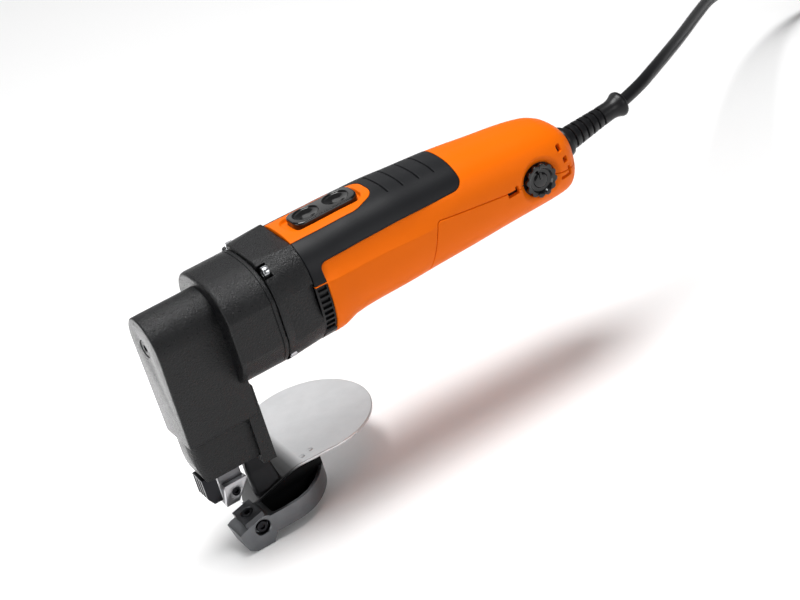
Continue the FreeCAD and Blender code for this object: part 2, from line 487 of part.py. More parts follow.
# vent slots
def slot(x0, x1, z0, z1, both=True):
    r = [box(x0, x1, -32, -8, z0, z1)]
    if both:
        r.append(box(x0, x1, 8, 32, z0, z1))
    return r
VENTS = slot(209.8, 215.6, 6.9, 8.6) + slot(214.0, 216.2, 6.9, 12.0) + slot(249.0, 251.4, 13.6, 17.0) + slot(252.0, 254.6, 5.8, 9.6) + slot(248.6, 254.8, -0.4, 1.1) + slot(252.8, 254.8, -0.4, 4.2)
upper = upper.cut(VENTS)
cover = cover.cut(VENTS)
# opening for the cord boot
upper = upper.cut(cylx(6.0, 255, 270, 0, 3.6))
cover = cover.cut(cylx(6.0, 255, 270, 0, 3.6))
# screw bosses
for (y, z) in SCREW_YZ:
    sgn = 1 if y > 0 else -1
    b = cylx(4.6, 95.6, 103.0, y * 0.98, z - (1.5 if z > 0 else -1.0)).common(mid)
    upper = upper.fuse(b).cut(cylx(1.7, 90, 101, y, z)).cut(cylx(2.16, 80, 95.5, y, z))
COV_SCREWS = [(196.0, 14.0), (196.0, -14.0), (243.0, 12.0), (243.0, -12.0)]
for (x, y) in COV_SCREWS:
    cover = cover.fuse(cylz(4.0, -20.0, zsplit(x) - 7.0, x, y).common(outer).cut(cylz(1.4, -25, 20, x, y)))
    cover = cover.cut(cylz(3.6, -40, -12.5, x, y)).cut(cylz(1.9, -40, 20, x, y))
    upper = upper.fuse(cylz(3.8, zsplit(x) - 6.6, 40.0, x, y).common(mid)).cut(cylz(1.4, -10, zsplit(x) + 6.0, x, y))
upper = upper.cut(cyly(12.6, -40, -22.0, DIAL_X, DIAL_Z))
put("motor_housing", upper)
put("rear_cover", cover)
put("cover_screws", comp([socket_screw((x, y, -12.52), (0, 0, 1), 3.3, 2.4, 1.35, zsplit(x) + 12.4 + 4.0) for (x, y) in COV_SCREWS]))

# ================================================================ slide switch
def stadium(x0, x1, r, z0, z1):
    s = box(x0 + r, x1 - r, -r, r, z0, z1)
    return fuse([s, cylz(r, z0, z1, x0 + r, 0), cylz(r, z0, z1, x1 - r, 0)])
btn = stadium(97.0, 138.5, 8.6, 36.6, 39.6)
btn = rounded(btn, 0.9, lambda e: e.BoundBox.ZMin > 39.5)
for cx in (107.5, 127.5):
    sph = Part.makeSphere(19.0, V(cx, 0, 39.6 + 17.6))
    btn = btn.cut(sph)
btn = btn.fuse(box(109.4, 116.6, -3.0, 3.0, 33.0, 36.8))
put("switch_button", btn)
rod = fuse([box(104.0, 160.0, -4.0, 4.0, 31.8, 33.2), box(158.4, 160.0, -4.0, 4.0, 28.2, 33.2), box(158.4, 196.6, -4.0, 4.0, 28.2, 29.6),
            box(195.0, 196.6, -4.0, 4.0, 20.0, 29.6)])
put("switch_rod", rod)
put("switch_module", fuse([box(203.0, 218.0, -9.0, 9.0, 6.0, 24.0), box(197.4, 203.4, -2.5, 2.5, 20.6, 23.6)]))

# ================================================================ motor
zm = DRIVE_Z
put("armature_shaft", fuse([cylx(4.0, 89.2, 190.0, 0, zm), cylx(1.2, 81.6, 90.0, 0, zm), cylx(5.2, 98.2, 100.0, 0, zm)]))
core = cylx(15.6, 113.0, 151.0, 0, zm).cut(cylx(4.0, 110, 155, 0, zm))
slots = []
for i in range(12):
    a = 2 * math.pi * i / 12
    s = box(110, 155, -0.9, 0.9, 13.4, 17.0).fuse(cylx(1.9, 110, 155, 0, 12.4))
    s.rotate(V(0, 0, 0), V(1, 0, 0), math.degrees(a)); s.translate(V(0, 0, zm)); slots.append(s)
core = core.cut(slots)
put("armature_core", core)
coil_bars = []
for i in range(12):
    a = 2 * math.pi * i / 12
    coil_bars.append(cylx(1.6, 113.0, 151.0, -12.4 * math.sin(a), zm + 12.4 * math.cos(a)))
wind = [tube(4.0, 13.6, 107.2, 112.9, 0, zm), tube(4.0, 13.6, 151.1, 159.0, 0, zm)]
wind = [rounded(w, 2.4, lambda e: abs(e.BoundBox.ZLength - 27.2) < 0.1) for w in wind]
put("armature_windings", fuse(wind + [cylx(1.62, 112.0, 152.0, -12.3 * math.sin(2 * math.pi * i / 12), zm + 12.3 * math.cos(2 * math.pi * i / 12)) for i in range(12)]))
com = cylx(10.6, 161.0, 175.0, 0, zm).cut(cylx(4.0, 150, 180, 0, zm))
cs = []
for i in range(24):
    s = box(162.0, 176, -0.25, 0.25, 9.4, 11.5); s.rotate(V(0, 0, 0), V(1, 0, 0), 15.0 * i); s.translate(V(0, 0, zm)); cs.append(s)
put("commutator", com.cut(cs))
fan = [tube(4.0, 9.0, 100.2, 106.8, 0, zm), tube(6.0, 22.6, 100.2, 101.6, 0, zm)]
for i in range(15):
    b = box(101.4, 106.4, -0.7, 0.7, 8.6, 22.4); b.rotate(V(0, 0, 0), V(1, 0, 0), 24.0 * i); b.translate(V(0, 0, zm)); fan.append(b)
put("cooling_fan", fuse(fan))
put("motor_front_bearing", comp(ball_bearing(4.03, 11.0, 90.6, 7.0, 0, zm, 7)))
put("motor_rear_bearing", comp(ball_bearing(4.03, 11.0, 180.0, 7.0, 0, zm, 7)))
brk = tube(11.0, 14.0, 179.6, 187.4, 0, zm).fuse(box(181.0, 186.0, -24.0, 24.0, zm - 3, zm + 3).cut(cylx(12.0, 170, 190, 0, zm)))
brk = brk.fuse(box(181.0, 186.0, -3.0, 3.0, -17.5, 30.5).cut(cylx(12.0, 170, 190, 0, zm)))
brk = brk.cut(box(185.9, 190, -5, 5, 26.0, 33.0)).common(loft([section(178.0, 28.0, 7.2, 28.0, 28.0, inset=3.35), section(189.0, 27.2, 6.95, 27.2, 27.2, inset=3.35)]))
brk = brk.cut(box(178, 190, -4.6, 4.6, 27.4, 34.0))
put("bearing_bracket", brk)
st = cylx(24.3, 113.0, 151.0, 0, zm).common(box(100, 160, -23.2, 23.2, -30, 60))
st = st.cut(cylx(16.3, 110, 155, 0, zm))
for s in (-1, 1):
    pocket = tube(18.6, 21.4, 112, 152, 0, zm).common(box(110, 155, min(0, s * 30), max(0, s * 30), zm - 12.5, zm + 12.5))
    st = st.cut(pocket)
put("stator_core", st)
coils = []
for s in (-1, 1):
    c = tube(18.8, 21.2, 108.6, 155.4, 0, zm).common(box(100, 160, min(0, s * 30), max(0, s * 30), zm - 12.2, zm + 12.2))
    coils.append(c)
put("stator_coils", comp(coils))
bh, br, bs_ = [], [], []
for s in (-1, 1):
    y0, y1 = sorted((s * 12.4, s * 23.6))
    bh.append(box(163.6, 172.4, y0, y1, zm - 4.4, zm + 4.4).cut(box(164.9, 171.1, min(s * 11, s * 30), max(s * 11, s * 30), zm - 3.1, zm + 3.1)))
    y0, y1 = sorted((s * 10.75, s * 18.6))
    br.append(box(165.0, 171.0, y0, y1, zm - 3.0, zm + 3.0))
    y0, y1 = sorted((s * 18.7, s * 23.4))
    bs_.append(cyly(2.4, y0, y1, 168.0, zm).cut(cyly(1.5, y0 - 1, y1 + 1, 168.0, zm)))
put("brush_holders", comp(bh)); put("carbon_brushes", comp(br)); put("brush_springs", comp(bs_))

# ================================================================ speed control
mod = fuse([box(219.0, 238.4, -13.0, 13.0, -3.0, 1.2).cut(box(226, 243, -20, -8.0, -10, 12)), box(222.0, 236.0, -6.0, 10.0, 1.0, 9.0)])
mod = mod.fuse(box(226.0, 238.4, -15.2, -8.0, -4.2, 10.6))
put("speed_module", mod)
dial = cyly(DIAL_R, -24.6, -22.2, DIAL_X, DIAL_Z)
for i in range(12):
    a = 2 * math.pi * i / 12
    dial = dial.cut(cyly(1.5, -26, -20, DIAL_X + (DIAL_R + 0.5) * math.cos(a), DIAL_Z + (DIAL_R + 0.5) * math.sin(a)))
dial = dial.fuse(cyly(3.1, -22.4, -15.6, DIAL_X, DIAL_Z)).cut(cyly(6.2, -26, -24.0, DIAL_X, DIAL_Z))
put("speed_dial", dial)

# ================================================================ cord, boot, coil, plug
BOOT0 = V(262.8, 0, 3.6)
BOOT1 = V(309.0, 4.0, 7.4)
bd = (BOOT1 - BOOT0); BL_ = bd.Length; bd.normalize()
def bcyl(r0, r1, s0, s1):
    if abs(r0 - r1) < 1e-6:
        return Part.makeCylinder(r0, s1 - s0, BOOT0 + bd * s0, bd)
    return Part.makeCone(r0, r1, s1 - s0, BOOT0 + bd * s0, bd)
boot = fuse([bcyl(9.0, 8.6, 4.7, 7.0), bcyl(7.2, 5.4, 6.0, BL_ - 9.0), bcyl(5.4, 7.4, BL_ - 9.4, BL_ - 2.5), bcyl(7.4, 6.4, BL_ - 2.5, BL_)])
for k in range(6):
    s = 9.5 + k * 4.6
    boot = boot.cut(bcyl(8.2, 8.2, s, s + 1.2).cut(bcyl(5.9 - k * 0.22, 5.9 - k * 0.22, s - 1, s + 2)))
boot = boot.fuse(Part.makeCylinder(5.9, 9.0, V(258.4, 0, 3.6), V(1, 0, 0)).fuse(Part.makeCylinder(7.6, 1.9, V(258.4, 0, 3.6), V(1, 0, 0))))
put("cord_boot", boot)
put("cable_clamp", fuse([box(248.5, 254.5, -8.0, 8.0, -0.6, 3.2), box(248.5, 254.5, -8.0, 8.0, 6.8, 9.4), box(248.5, 254.5, -8.0, -5.4, 0, 8.0), box(248.5, 254.5, 5.4, 8.0, 0, 8.0)]))

R_ = CORD_D / 2.0
zfl = SOLE_Z + R_ + 0.05
ROUTE = [(309.0, 4.0, 7.4), (324.5, 8.6, 8.4), (343.0, 21.5, 6.2), (368.0, 43.5, -0.5), (398.5, 74.0, -11.5), (434.5, 112.0, -25.0),
         (474.0, 153.0, -40.0), (514.0, 187.5, -60.0), (552.0, 210.0, -84.5), (589.0, 219.5, -106.5), (621.0, 214.5, zfl), (647.5, 199.0, zfl)]
def cord_path(P):
    P = [V(*p) for p in P]
    edges, start, radii = [], P[0], []
    for i in range(1, len(P) - 1):
        a, b, c = P[i - 1], P[i], P[i + 1]
        d0, d1 = (b - a), (c - b)
        l0, l1 = d0.Length, d1.Length
        d0.normalize(); d1.normalize()
        turn = d0.getAngle(d1)
        tl = 0.45 * min(l0, l1)
        r = tl / math.tan(turn / 2.0)
        radii.append((round(math.degrees(turn), 1), round(r, 1)))
        p0, p1 = b - d0 * tl, b + d1 * tl
        bis = (d1 - d0); bis.normalize()
        mid_ = b + bis * (r / math.cos(turn / 2.0) - r)
        edges.append(Part.LineSegment(start, p0).toShape())
        edges.append(Part.Arc(p0, mid_, p1).toShape())
        start = p1
    edges.append(Part.LineSegment(start, P[-1]).toShape())
    return Part.Wire(edges), radii
wire, radii = cord_path(ROUTE)
print("cord turns and radii:", radii)
print("cord runs:", [round((V(*a) - V(*b)).Length, 1) for a, b in zip(ROUTE, ROUTE[1:])])
d0 = V(*ROUTE[1]) - V(*ROUTE[0])
prof = Part.Wire([Part.Circle(V(*ROUTE[0]), d0, R_).toShape()])
cord = wire.makePipeShell([prof], True, False)
print("cord volume / (section x length): %.4f  length %.1f" % (cord.Volume / (math.pi * R_ * R_ * wire.Length), wire.Length))
put("cord_tube", cord)
cz0, cz1 = SOLE_Z, SOLE_Z + COIL_H
coil = cylz(COIL_RO, cz0, cz1, *COIL_C).cut(cylz(COIL_RI, cz0 - 1, cz1 + 1, *COIL_C))
coil = rounded(coil, 3.0, lambda e: e.BoundBox.XLength > 50)
put("cord_coil", coil)
# tie round the coil, at the side towards the tool
def radial_box(ang, r0, r1, hw, z0, z1):
    b = box(r0, r1, -hw, hw, z0, z1); b.rotate(V(0, 0, 0), V(0, 0, 1), ang); b.translate(V(COIL_C[0], COIL_C[1], 0)); return b
tie = radial_box(170, COIL_RI - 1.4, COIL_RO + 1.4, 5.0, cz0, cz1 + 1.2).cut(radial_box(170, COIL_RI - 0.1, COIL_RO + 0.1, 6.0, cz0 - 1, cz1 + 0.1))
put("coil_tie", tie)
# plug: its strain relief starts at the edge of the coil
PLG = V(584.5, 91.0, SOLE_Z + 13.2)
pd = V(-1.0, 0.0, 0.0)
def pcyl(r0, r1, s0, s1):
    if abs(r0 - r1) < 1e-6:
        return Part.makeCylinder(r0, s1 - s0, PLG + pd * s0, pd)
    return Part.makeCone(r0, r1, s1 - s0, PLG + pd * s0, pd)
plug = fuse([pcyl(5.0, 9.0, -38.0, -10.0), pcyl(9.0, 13.0, -10.2, 0.0), pcyl(13.0, 13.0, -0.2, 14.0)])
plug = plug.common(box(500, 800, PLG.y - 18.5, PLG.y + 18.5, SOLE_Z, SOLE_Z + 40))
put("plug_body", plug)
pins = []
for s in (-1, 1):
    q = PLG + V(0, s * 9.5, 0)
    pins.append(fuse([Part.makeCylinder(2.2, 2.6, q + pd * 12.0, pd), Part.makeCylinder(2.4, 17.4, q + pd * 14.4, pd), Part.makeCone(2.4, 1.5, 1.2, q + pd * 31.8, pd)]))
put("plug_pins", comp(pins))

# ================================================================ move to the row frame and write
off = V(-ORG.x, -ORG.y, -ORG.z)
for name, s in NODES.items():
    t = s.copy(); t.translate(off)
    t.exportStep(os.path.join(OUT, name + ".step"))
print("nodes", len(NODES))
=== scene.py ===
import bpy, bmesh, json, math
import numpy as np
from mathutils import Matrix, Vector


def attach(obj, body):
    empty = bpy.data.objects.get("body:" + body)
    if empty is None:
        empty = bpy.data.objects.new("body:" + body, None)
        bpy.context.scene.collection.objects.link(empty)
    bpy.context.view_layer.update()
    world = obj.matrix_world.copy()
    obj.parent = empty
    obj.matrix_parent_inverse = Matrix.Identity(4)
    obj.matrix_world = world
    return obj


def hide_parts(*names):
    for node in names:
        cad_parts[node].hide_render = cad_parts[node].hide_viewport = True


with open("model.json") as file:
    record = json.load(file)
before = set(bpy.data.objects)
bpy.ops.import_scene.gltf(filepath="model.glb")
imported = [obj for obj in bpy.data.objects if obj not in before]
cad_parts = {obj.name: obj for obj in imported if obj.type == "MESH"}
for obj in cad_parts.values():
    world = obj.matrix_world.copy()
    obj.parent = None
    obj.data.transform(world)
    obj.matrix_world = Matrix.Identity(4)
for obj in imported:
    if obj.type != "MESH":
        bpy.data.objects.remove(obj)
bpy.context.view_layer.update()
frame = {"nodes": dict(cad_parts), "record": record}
scene = bpy.context.scene
ORG = np.array([18.0, -12.0, -121.0])       # row origin in tool millimetres


def M(x, y, z):
    return Vector(((x - ORG[0]) / 1000, (y - ORG[1]) / 1000, (z - ORG[2]) / 1000))


# ------------------------------------------------------------------ camera
cam_data = bpy.data.cameras.new("camera")
cam_data.sensor_width = 36.0
cam_data.lens = 108.0
cam_data.clip_start, cam_data.clip_end = 0.05, 50.0
cam = bpy.data.objects.new("camera", cam_data)
scene.collection.objects.link(cam)
_a, _e, _r = math.radians(-22.1), math.radians(29.82), math.radians(-16.92)
back = Vector((math.sin(_a) * math.cos(_e), -math.cos(_a) * math.cos(_e), math.sin(_e)))
right0 = Vector((math.cos(_a), math.sin(_a), 0))
up0 = back.cross(right0)
right = right0 * math.cos(_r) + up0 * math.sin(_r)
up = right0 * -math.sin(_r) + up0 * math.cos(_r)
pos = M(144.2, 0, -35.8) + back * 1.3115
cam.matrix_world = Matrix(((right.x, up.x, back.x, pos.x), (right.y, up.y, back.y, pos.y), (right.z, up.z, back.z, pos.z), (0, 0, 0, 1)))
scene.camera = cam


# ------------------------------------------------------------------ materials
def new_mat(name):
    m = bpy.data.materials.new(name)
    m.use_nodes = True
    nt = m.node_tree
    b = next(n for n in nt.nodes if n.type == "BSDF_PRINCIPLED")
    return m, nt, b


def simple(name, col, rough, metal=0.0, spec=0.5, coat=0.0, coat_rough=0.1, bump=None, rough_var=None, col_var=None, aniso=0.0, sheen=0.0, sss=0.0):
    m, nt, b = new_mat(name)
    b.inputs["Base Color"].default_value = (*col, 1)
    b.inputs["Roughness"].default_value = rough
    b.inputs["Metallic"].default_value = metal
    b.inputs["Specular IOR Level"].default_value = spec
    b.inputs["Coat Weight"].default_value = coat
    b.inputs["Coat Roughness"].default_value = coat_rough
    if aniso:
        b.inputs["Anisotropic"].default_value = aniso
    if sheen:
        b.inputs["Sheen Weight"].default_value = sheen
        b.inputs["Sheen Roughness"].default_value = 0.5
    tc = nt.nodes.new("ShaderNodeTexCoord")
    if rough_var or col_var:
        n = nt.nodes.new("ShaderNodeTexNoise")
        n.inputs["Scale"].default_value = (rough_var or col_var)[0]
        n.inputs["Detail"].default_value = 5.0
        nt.links.new(tc.outputs["Object"], n.inputs["Vector"])
        if rough_var:
            mr = nt.nodes.new("ShaderNodeMapRange")
            mr.inputs["To Min"].default_value = rough - rough_var[1]
            mr.inputs["To Max"].default_value = rough + rough_var[1]
            nt.links.new(n.outputs["Fac"], mr.inputs["Value"])
            nt.links.new(mr.outputs["Result"], b.inputs["Roughness"])
        if col_var:
            mx = nt.nodes.new("ShaderNodeMix")
            mx.data_type = "RGBA"
            mx.inputs[6].default_value = (*[c * (1 - col_var[1]) for c in col], 1)
            mx.inputs[7].default_value = (*[min(1, c * (1 + col_var[1])) for c in col], 1)
            nt.links.new(n.outputs["Fac"], mx.inputs[0])
            nt.links.new(mx.outputs[2], b.inputs["Base Color"])
    if bump:
        kind, scale, dist = bump[:3]
        if kind == "noise":
            t = nt.nodes.new("ShaderNodeTexNoise")
            t.inputs["Scale"].default_value = scale
            t.inputs["Detail"].default_value = 4.0
            t.inputs["Roughness"].default_value = 0.6
            out = t.outputs["Fac"]
        elif kind == "voronoi":
            t = nt.nodes.new("ShaderNodeTexVoronoi")
            t.inputs["Scale"].default_value = scale
            out = t.outputs["Distance"]
        else:
            t = nt.nodes.new("ShaderNodeTexNoise")
            t.inputs["Scale"].default_value = scale
            t.inputs["Detail"].default_value = 3.0
            out = t.outputs["Fac"]
        if len(bump) > 3:
            mp = nt.nodes.new("ShaderNodeMapping")
            mp.inputs["Scale"].default_value = bump[3]
            nt.links.new(tc.outputs["Object"], mp.inputs["Vector"])
            nt.links.new(mp.outputs["Vector"], t.inputs["Vector"])
        else:
            nt.links.new(tc.outputs["Object"], t.inputs["Vector"])
        bp = nt.nodes.new("ShaderNodeBump")
        bp.inputs["Strength"].default_value = 1.0
        bp.inputs["Distance"].default_value = dist
        nt.links.new(out, bp.inputs["Height"])
        nt.links.new(bp.outputs["Normal"], b.inputs["Normal"])
    return m


MAT = {
    "black_casting": simple("mat_black_casting", (0.0042, 0.0044, 0.0052), 0.30, spec=0.33, bump=("noise", 1000.0, 0.00054), rough_var=(900.0, 0.09)),
    "orange_plastic": simple("mat_orange_plastic", (0.86, 0.150, 0.0005), 0.44, spec=0.10, coat=0.0, coat_rough=0.25, bump=("noise", 2600.0, 0.000012)),
    "soft_black": simple("mat_soft_black", (0.0060, 0.0065, 0.0080), 0.44, spec=0.22, bump=("noise", 2200.0, 0.00004), sheen=0.04),
    "gloss_black": simple("mat_gloss_black", (0.004, 0.004, 0.0045), 0.16, spec=0.45, coat=0.15, coat_rough=0.06),
    "ram_steel": simple("mat_ram_steel", (0.20, 0.20, 0.21), 0.36, metal=1.0, bump=("noise", 900.0, 0.00002)),
    # darker copy of the blade steel: painted shade for the dark reflection on the lower blade's top
    "blade_dark": simple("mat_blade_painted_shade", (0.085, 0.087, 0.092), 0.30, metal=1.0, bump=("noise", 1200.0, 0.00003)),
    # near-black material used as painted shade in the holder's pocket and in the gap under the ramp
    "painted_cavity_shade": simple("mat_painted_cavity_shade", (0.003, 0.003, 0.0033), 0.6, spec=0.12),
    "black_plastic": simple("mat_black_plastic", (0.005, 0.005, 0.006), 0.36, spec=0.30, bump=("noise", 2200.0, 0.00002)),
    "satin_steel": simple("mat_satin_steel", (0.155, 0.16, 0.168), 0.40, metal=1.0, bump=("noise", 1000.0, 0.00010), rough_var=(120.0, 0.08), col_var=(700.0, 0.22)),
    "plate_steel": simple("mat_plate_steel", (0.72, 0.725, 0.735), 0.36, metal=0.9, bump=("noise", 900.0, 0.00006), rough_var=(90.0, 0.05), col_var=(560.0, 0.13)),
    "tool_steel": simple("mat_tool_steel", (0.46, 0.46, 0.475), 0.33, metal=1.0, bump=("noise", 900.0, 0.000012, (1.0, 1.0, 10.0)), rough_var=(150.0, 0.05)),
    "dark_steel": simple("mat_dark_steel", (0.022, 0.022, 0.024), 0.45, metal=0.8, bump=("noise", 900.0, 0.00004)),
    "gear_steel": simple("mat_gear_steel", (0.5, 0.5, 0.51), 0.3, metal=1.0),
    "bearing_steel": simple("mat_bearing_steel", (0.72, 0.72, 0.73), 0.14, metal=1.0),
    "zinc_steel": simple("mat_zinc_steel", (0.50, 0.51, 0.53), 0.22, metal=1.0, rough_var=(400.0, 0.06)),
    "black_steel": simple("mat_black_steel", (0.020, 0.020, 0.023), 0.30, metal=0.85),
    "bronze": simple("mat_bronze", (0.55, 0.34, 0.14), 0.35, metal=1.0),
    "lamination_steel": simple("mat_lamination", (0.16, 0.16, 0.17), 0.45, metal=0.8, bump=("noise", 300.0, 0.00005, (30.0, 1.0, 1.0))),
    "copper": simple("mat_copper", (0.72, 0.28, 0.10), 0.28, metal=1.0),
    "brass": simple("mat_brass", (0.78, 0.58, 0.25), 0.28, metal=1.0),
    "carbon": simple("mat_carbon", (0.02, 0.02, 0.02), 0.6),
    "black_rubber": simple("mat_black_rubber", (0.005, 0.005, 0.006), 0.38, spec=0.32, bump=("noise", 1300.0, 0.00003)),
    "nickel_pins": simple("mat_nickel_pins", (0.74, 0.72, 0.68), 0.18, metal=1.0),
}
SLOT_OF = {s["node"]: s["material_slot"] for s in frame["record"]["subparts"]}
for n, o in frame["nodes"].items():
    o.data.materials.clear()
    o.data.materials.append(MAT[SLOT_OF[n]])


# ------------------------------------------------------------------ mesh helpers
def finish_obj(o, mat, body, reps=()):
    for m in (mat if isinstance(mat, (list, tuple)) else [mat]):
        o.data.materials.append(MAT[m])
    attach(o, body)
    if reps:
        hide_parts(*reps)
    return o


def mesh_from(name, verts_mm, faces, sharp=40, merge=False):
    v = (np.asarray(verts_mm, float) - ORG) / 1000.0
    me = bpy.data.meshes.new(name)
    me.from_pydata([tuple(p) for p in v], [], [list(map(int, f)) for f in faces])
    me.update()
    if merge:
        bm = bmesh.new(); bm.from_mesh(me)
        bmesh.ops.remove_doubles(bm, verts=bm.verts, dist=1e-6)
        bmesh.ops.recalc_face_normals(bm, faces=bm.faces)
        bm.to_mesh(me); bm.free()
    for p in me.polygons:
        p.use_smooth = True
    if sharp is not None:
        me.set_sharp_from_angle(angle=math.radians(sharp))
    o = bpy.data.objects.new(name, me)
    scene.collection.objects.link(o)
    return o


def bake(o, sharp=None):
    """Applies the piece's modifiers to its mesh."""
    dg = bpy.context.evaluated_depsgraph_get()
    dg.update()
    me = bpy.data.meshes.new_from_object(o.evaluated_get(dg))
    old = o.data
    o.modifiers.clear()
    o.data = me
    bpy.data.meshes.remove(old)
    if sharp is not None:
        for p in me.polygons:
            p.use_smooth = True
        me.set_sharp_from_angle(angle=math.radians(sharp))
    return o


def bevel(o, w_mm, seg=3, angle=35):
    m = o.modifiers.new("bevel", "BEVEL")
    m.width = w_mm / 1000.0
    m.segments = seg
    m.limit_method = "ANGLE"
    m.angle_limit = math.radians(angle)
    m.miter_outer = "MITER_ARC"
    m.use_clamp_overlap = True
    m.harden_normals = False
    return o


def boolean(o, cutter, op="DIFFERENCE"):
    m = o.modifiers.new("bool", "BOOLEAN")
    m.operation = op
    m.object = cutter
    m.solver = "EXACT"
    bake(o)
    bpy.data.objects.remove(cutter)
    return o


def prism(name, pts, vec, sharp=40):
    """Closed outline (mm, in order) pushed along vec."""
    n = len(pts)
    a = [tuple(p) for p in pts]
    b = [tuple(np.add(p, vec)) for p in pts]
    faces = [list(range(n))[::-1], list(range(n, 2 * n))] + [[i, (i + 1) % n, n + (i + 1) % n, n + i] for i in range(n)]
    return mesh_from(name, a + b, faces, sharp, merge=True)


def boxo(name, x0, x1, y0, y1, z0, z1):
    return prism(name, [(x0, y0, z0), (x1, y0, z0), (x1, y1, z0), (x0, y1, z0)], (0, 0, z1 - z0))


def frame_of(d):
    d = Vector(d).normalized()
    u = d.cross(Vector((0, 0, 1)))
    if u.length < 1e-3:
        u = d.cross(Vector((0, 1, 0)))
    u.normalize()
    return d, u, d.cross(u)


def lathe(name, p, d, prof, n=48, sharp=35, closed_ends=True):
    """prof is (distance along d, radius) in mm."""
    d, u, v = frame_of(d)
    p = Vector(p)
    verts, faces = [], []
    for s, r in prof:
        for i in range(n):
            t = 2 * math.pi * i / n
            verts.append(p + d * s + (u * math.cos(t) + v * math.sin(t)) * max(r, 1e-4))
    m = len(prof)
    for j in range(m - 1):
        for i in range(n):
            faces.append([j * n + i, j * n + (i + 1) % n, (j + 1) * n + (i + 1) % n, (j + 1) * n + i])
    if closed_ends:
        faces.append([i for i in range(n)][::-1])
        faces.append([(m - 1) * n + i for i in range(n)])
    return mesh_from(name, [tuple(q) for q in verts], faces, sharp, merge=True)


def cyl(name, p, d, r, length, n=48):
    return lathe(name, p, d, [(0, r), (length, r)], n)


def join(objs, name):
    bm = bmesh.new()
    for o in objs:
        t = bmesh.new(); t.from_mesh(o.data); t.transform(o.matrix_world)
        tmp = bpy.data.meshes.new("t"); t.to_mesh(tmp); t.free()
        bm.from_mesh(tmp); bpy.data.meshes.remove(tmp)
    me = bpy.data.meshes.new(name)
    bm.to_mesh(me); bm.free()
    for o in objs:
        bpy.data.objects.remove(o)
    out = bpy.data.objects.new(name, me)
    scene.collection.objects.link(out)
    return out


def pchip(xs, ys, x):
    """Smooth monotone interpolation through the points."""
    xs, ys, x = np.asarray(xs, float), np.asarray(ys, float), np.asarray(x, float)
    h = np.diff(xs); dl = np.diff(ys) / h
    d = np.zeros_like(ys)
    for i in range(1, len(xs) - 1):
        if dl[i - 1] * dl[i] > 0:
            w1, w2 = 2 * h[i] + h[i - 1], h[i] + 2 * h[i - 1]
            d[i] = (w1 + w2) / (w1 / dl[i - 1] + w2 / dl[i])
    d[0], d[-1] = dl[0], dl[-1]
    k = np.clip(np.searchsorted(xs, x) - 1, 0, len(xs) - 2)
    t = (x - xs[k]) / h[k]
    t2, t3 = t * t, t * t * t
    return (2 * t3 - 3 * t2 + 1) * ys[k] + (t3 - 2 * t2 + t) * h[k] * d[k] + (-2 * t3 + 3 * t2) * ys[k + 1] + (t3 - t2) * h[k] * d[k + 1]


def smoothstep(a, b, x):
    t = np.clip((x - a) / (b - a), 0, 1)
    return t * t * (3 - 2 * t)


# -- surfaces cut along curves: each vertex row is x y z, nx ny nz, then free columns
def grid(P, closed_v=False, extra=None):
    """P is (nu, nv, 3). Returns V, Q with outward normals taken from the grid."""
    nu, nv = P.shape[:2]
    if closed_v:
        dv = np.roll(P, -1, 1) - np.roll(P, 1, 1)
    else:
        dv = np.gradient(P, axis=1)
    du = np.gradient(P, axis=0)
    N = np.cross(du, dv)
    if closed_v:
        N = -N
    L = np.linalg.norm(N, axis=2, keepdims=True)
    N = N / np.maximum(L, 1e-12)
    cols = [P.reshape(-1, 3), N.reshape(-1, 3)]
    if extra is not None:
        cols.append(extra.reshape(nu * nv, -1))
    V = np.hstack(cols)
    i, j = np.meshgrid(np.arange(nu - 1), np.arange(nv if closed_v else nv - 1), indexing="ij")
    a = i * nv + j
    b = i * nv + (j + 1) % nv
    Q = np.stack([a, b, b + nv, a + nv] if closed_v else [a, a + nv, b + nv, b], -1).reshape(-1, 4)
    return V, Q, []


def cut(mesh, f):
    """Splits the surface where f = 0 and returns the two sides (f < 0, f > 0), on shared vertices."""
    V, Q, L = mesh
    s = np.asarray(f(V), float)
    s = np.where(np.abs(s) < 1e-5, -1e-5, s)
    neg = s < 0
    qn = neg[Q].sum(1) if len(Q) else np.zeros(0, int)
    Qn, Qp, mixed = Q[qn == 4], Q[qn == 0], [list(q) for q in Q[(qn > 0) & (qn < 4)]]
    Ln, Lp = [], []
    for g in L:
        c = sum(bool(neg[i]) for i in g)
        (Ln if c == len(g) else Lp if c == 0 else mixed).append(g)
    new, idx = [], {}
    n0 = len(V)
    def mid(a, b):
        k = (a, b) if a < b else (b, a)
        if k not in idx:
            t = s[a] / (s[a] - s[b])
            idx[k] = n0 + len(new)
            new.append(V[a] + (V[b] - V[a]) * t)
        return idx[k]
    for g in mixed:
        A, B = [], []
        for a, b in zip(g, g[1:] + g[:1]):
            (A if neg[a] else B).append(a)
            if neg[a] != neg[b]:
                m = mid(a, b)
                A.append(m); B.append(m)
        if len(A) > 2:
            Ln.append(A)
        if len(B) > 2:
            Lp.append(B)
    if new:
        V = np.vstack([V, np.array(new)])
    return (V, Qn, Ln), (V, Qp, Lp)


def rings(mesh, f, levels):
    """Adds edge loops along f = level for each level, keeping the whole surface."""
    for lv in levels:
        a, b = cut(mesh, lambda V, lv=lv: f(V) - lv)
        mesh = (b[0], np.vstack([a[1], b[1]]) if len(a[1]) and len(b[1]) else (a[1] if len(a[1]) else b[1]), a[2] + b[2])
    return mesh


def inside(mesh, f, gap=0.0, r=0.5):
    """The part with f < -gap, with loops for a rounded edge of radius r."""
    g = lambda V: f(V) + gap
    mesh = cut(mesh, g)[0]
    return rings(mesh, g, [-0.12 * r, -0.4 * r, -r])


def edge_drop(s, r):
    """Depth below the surface at signed distance s (< 0 inside) for a rounded edge."""
    d = np.clip(-s, 0, r)
    return r - np.sqrt(np.maximum(r * r - (r - d) ** 2, 0))


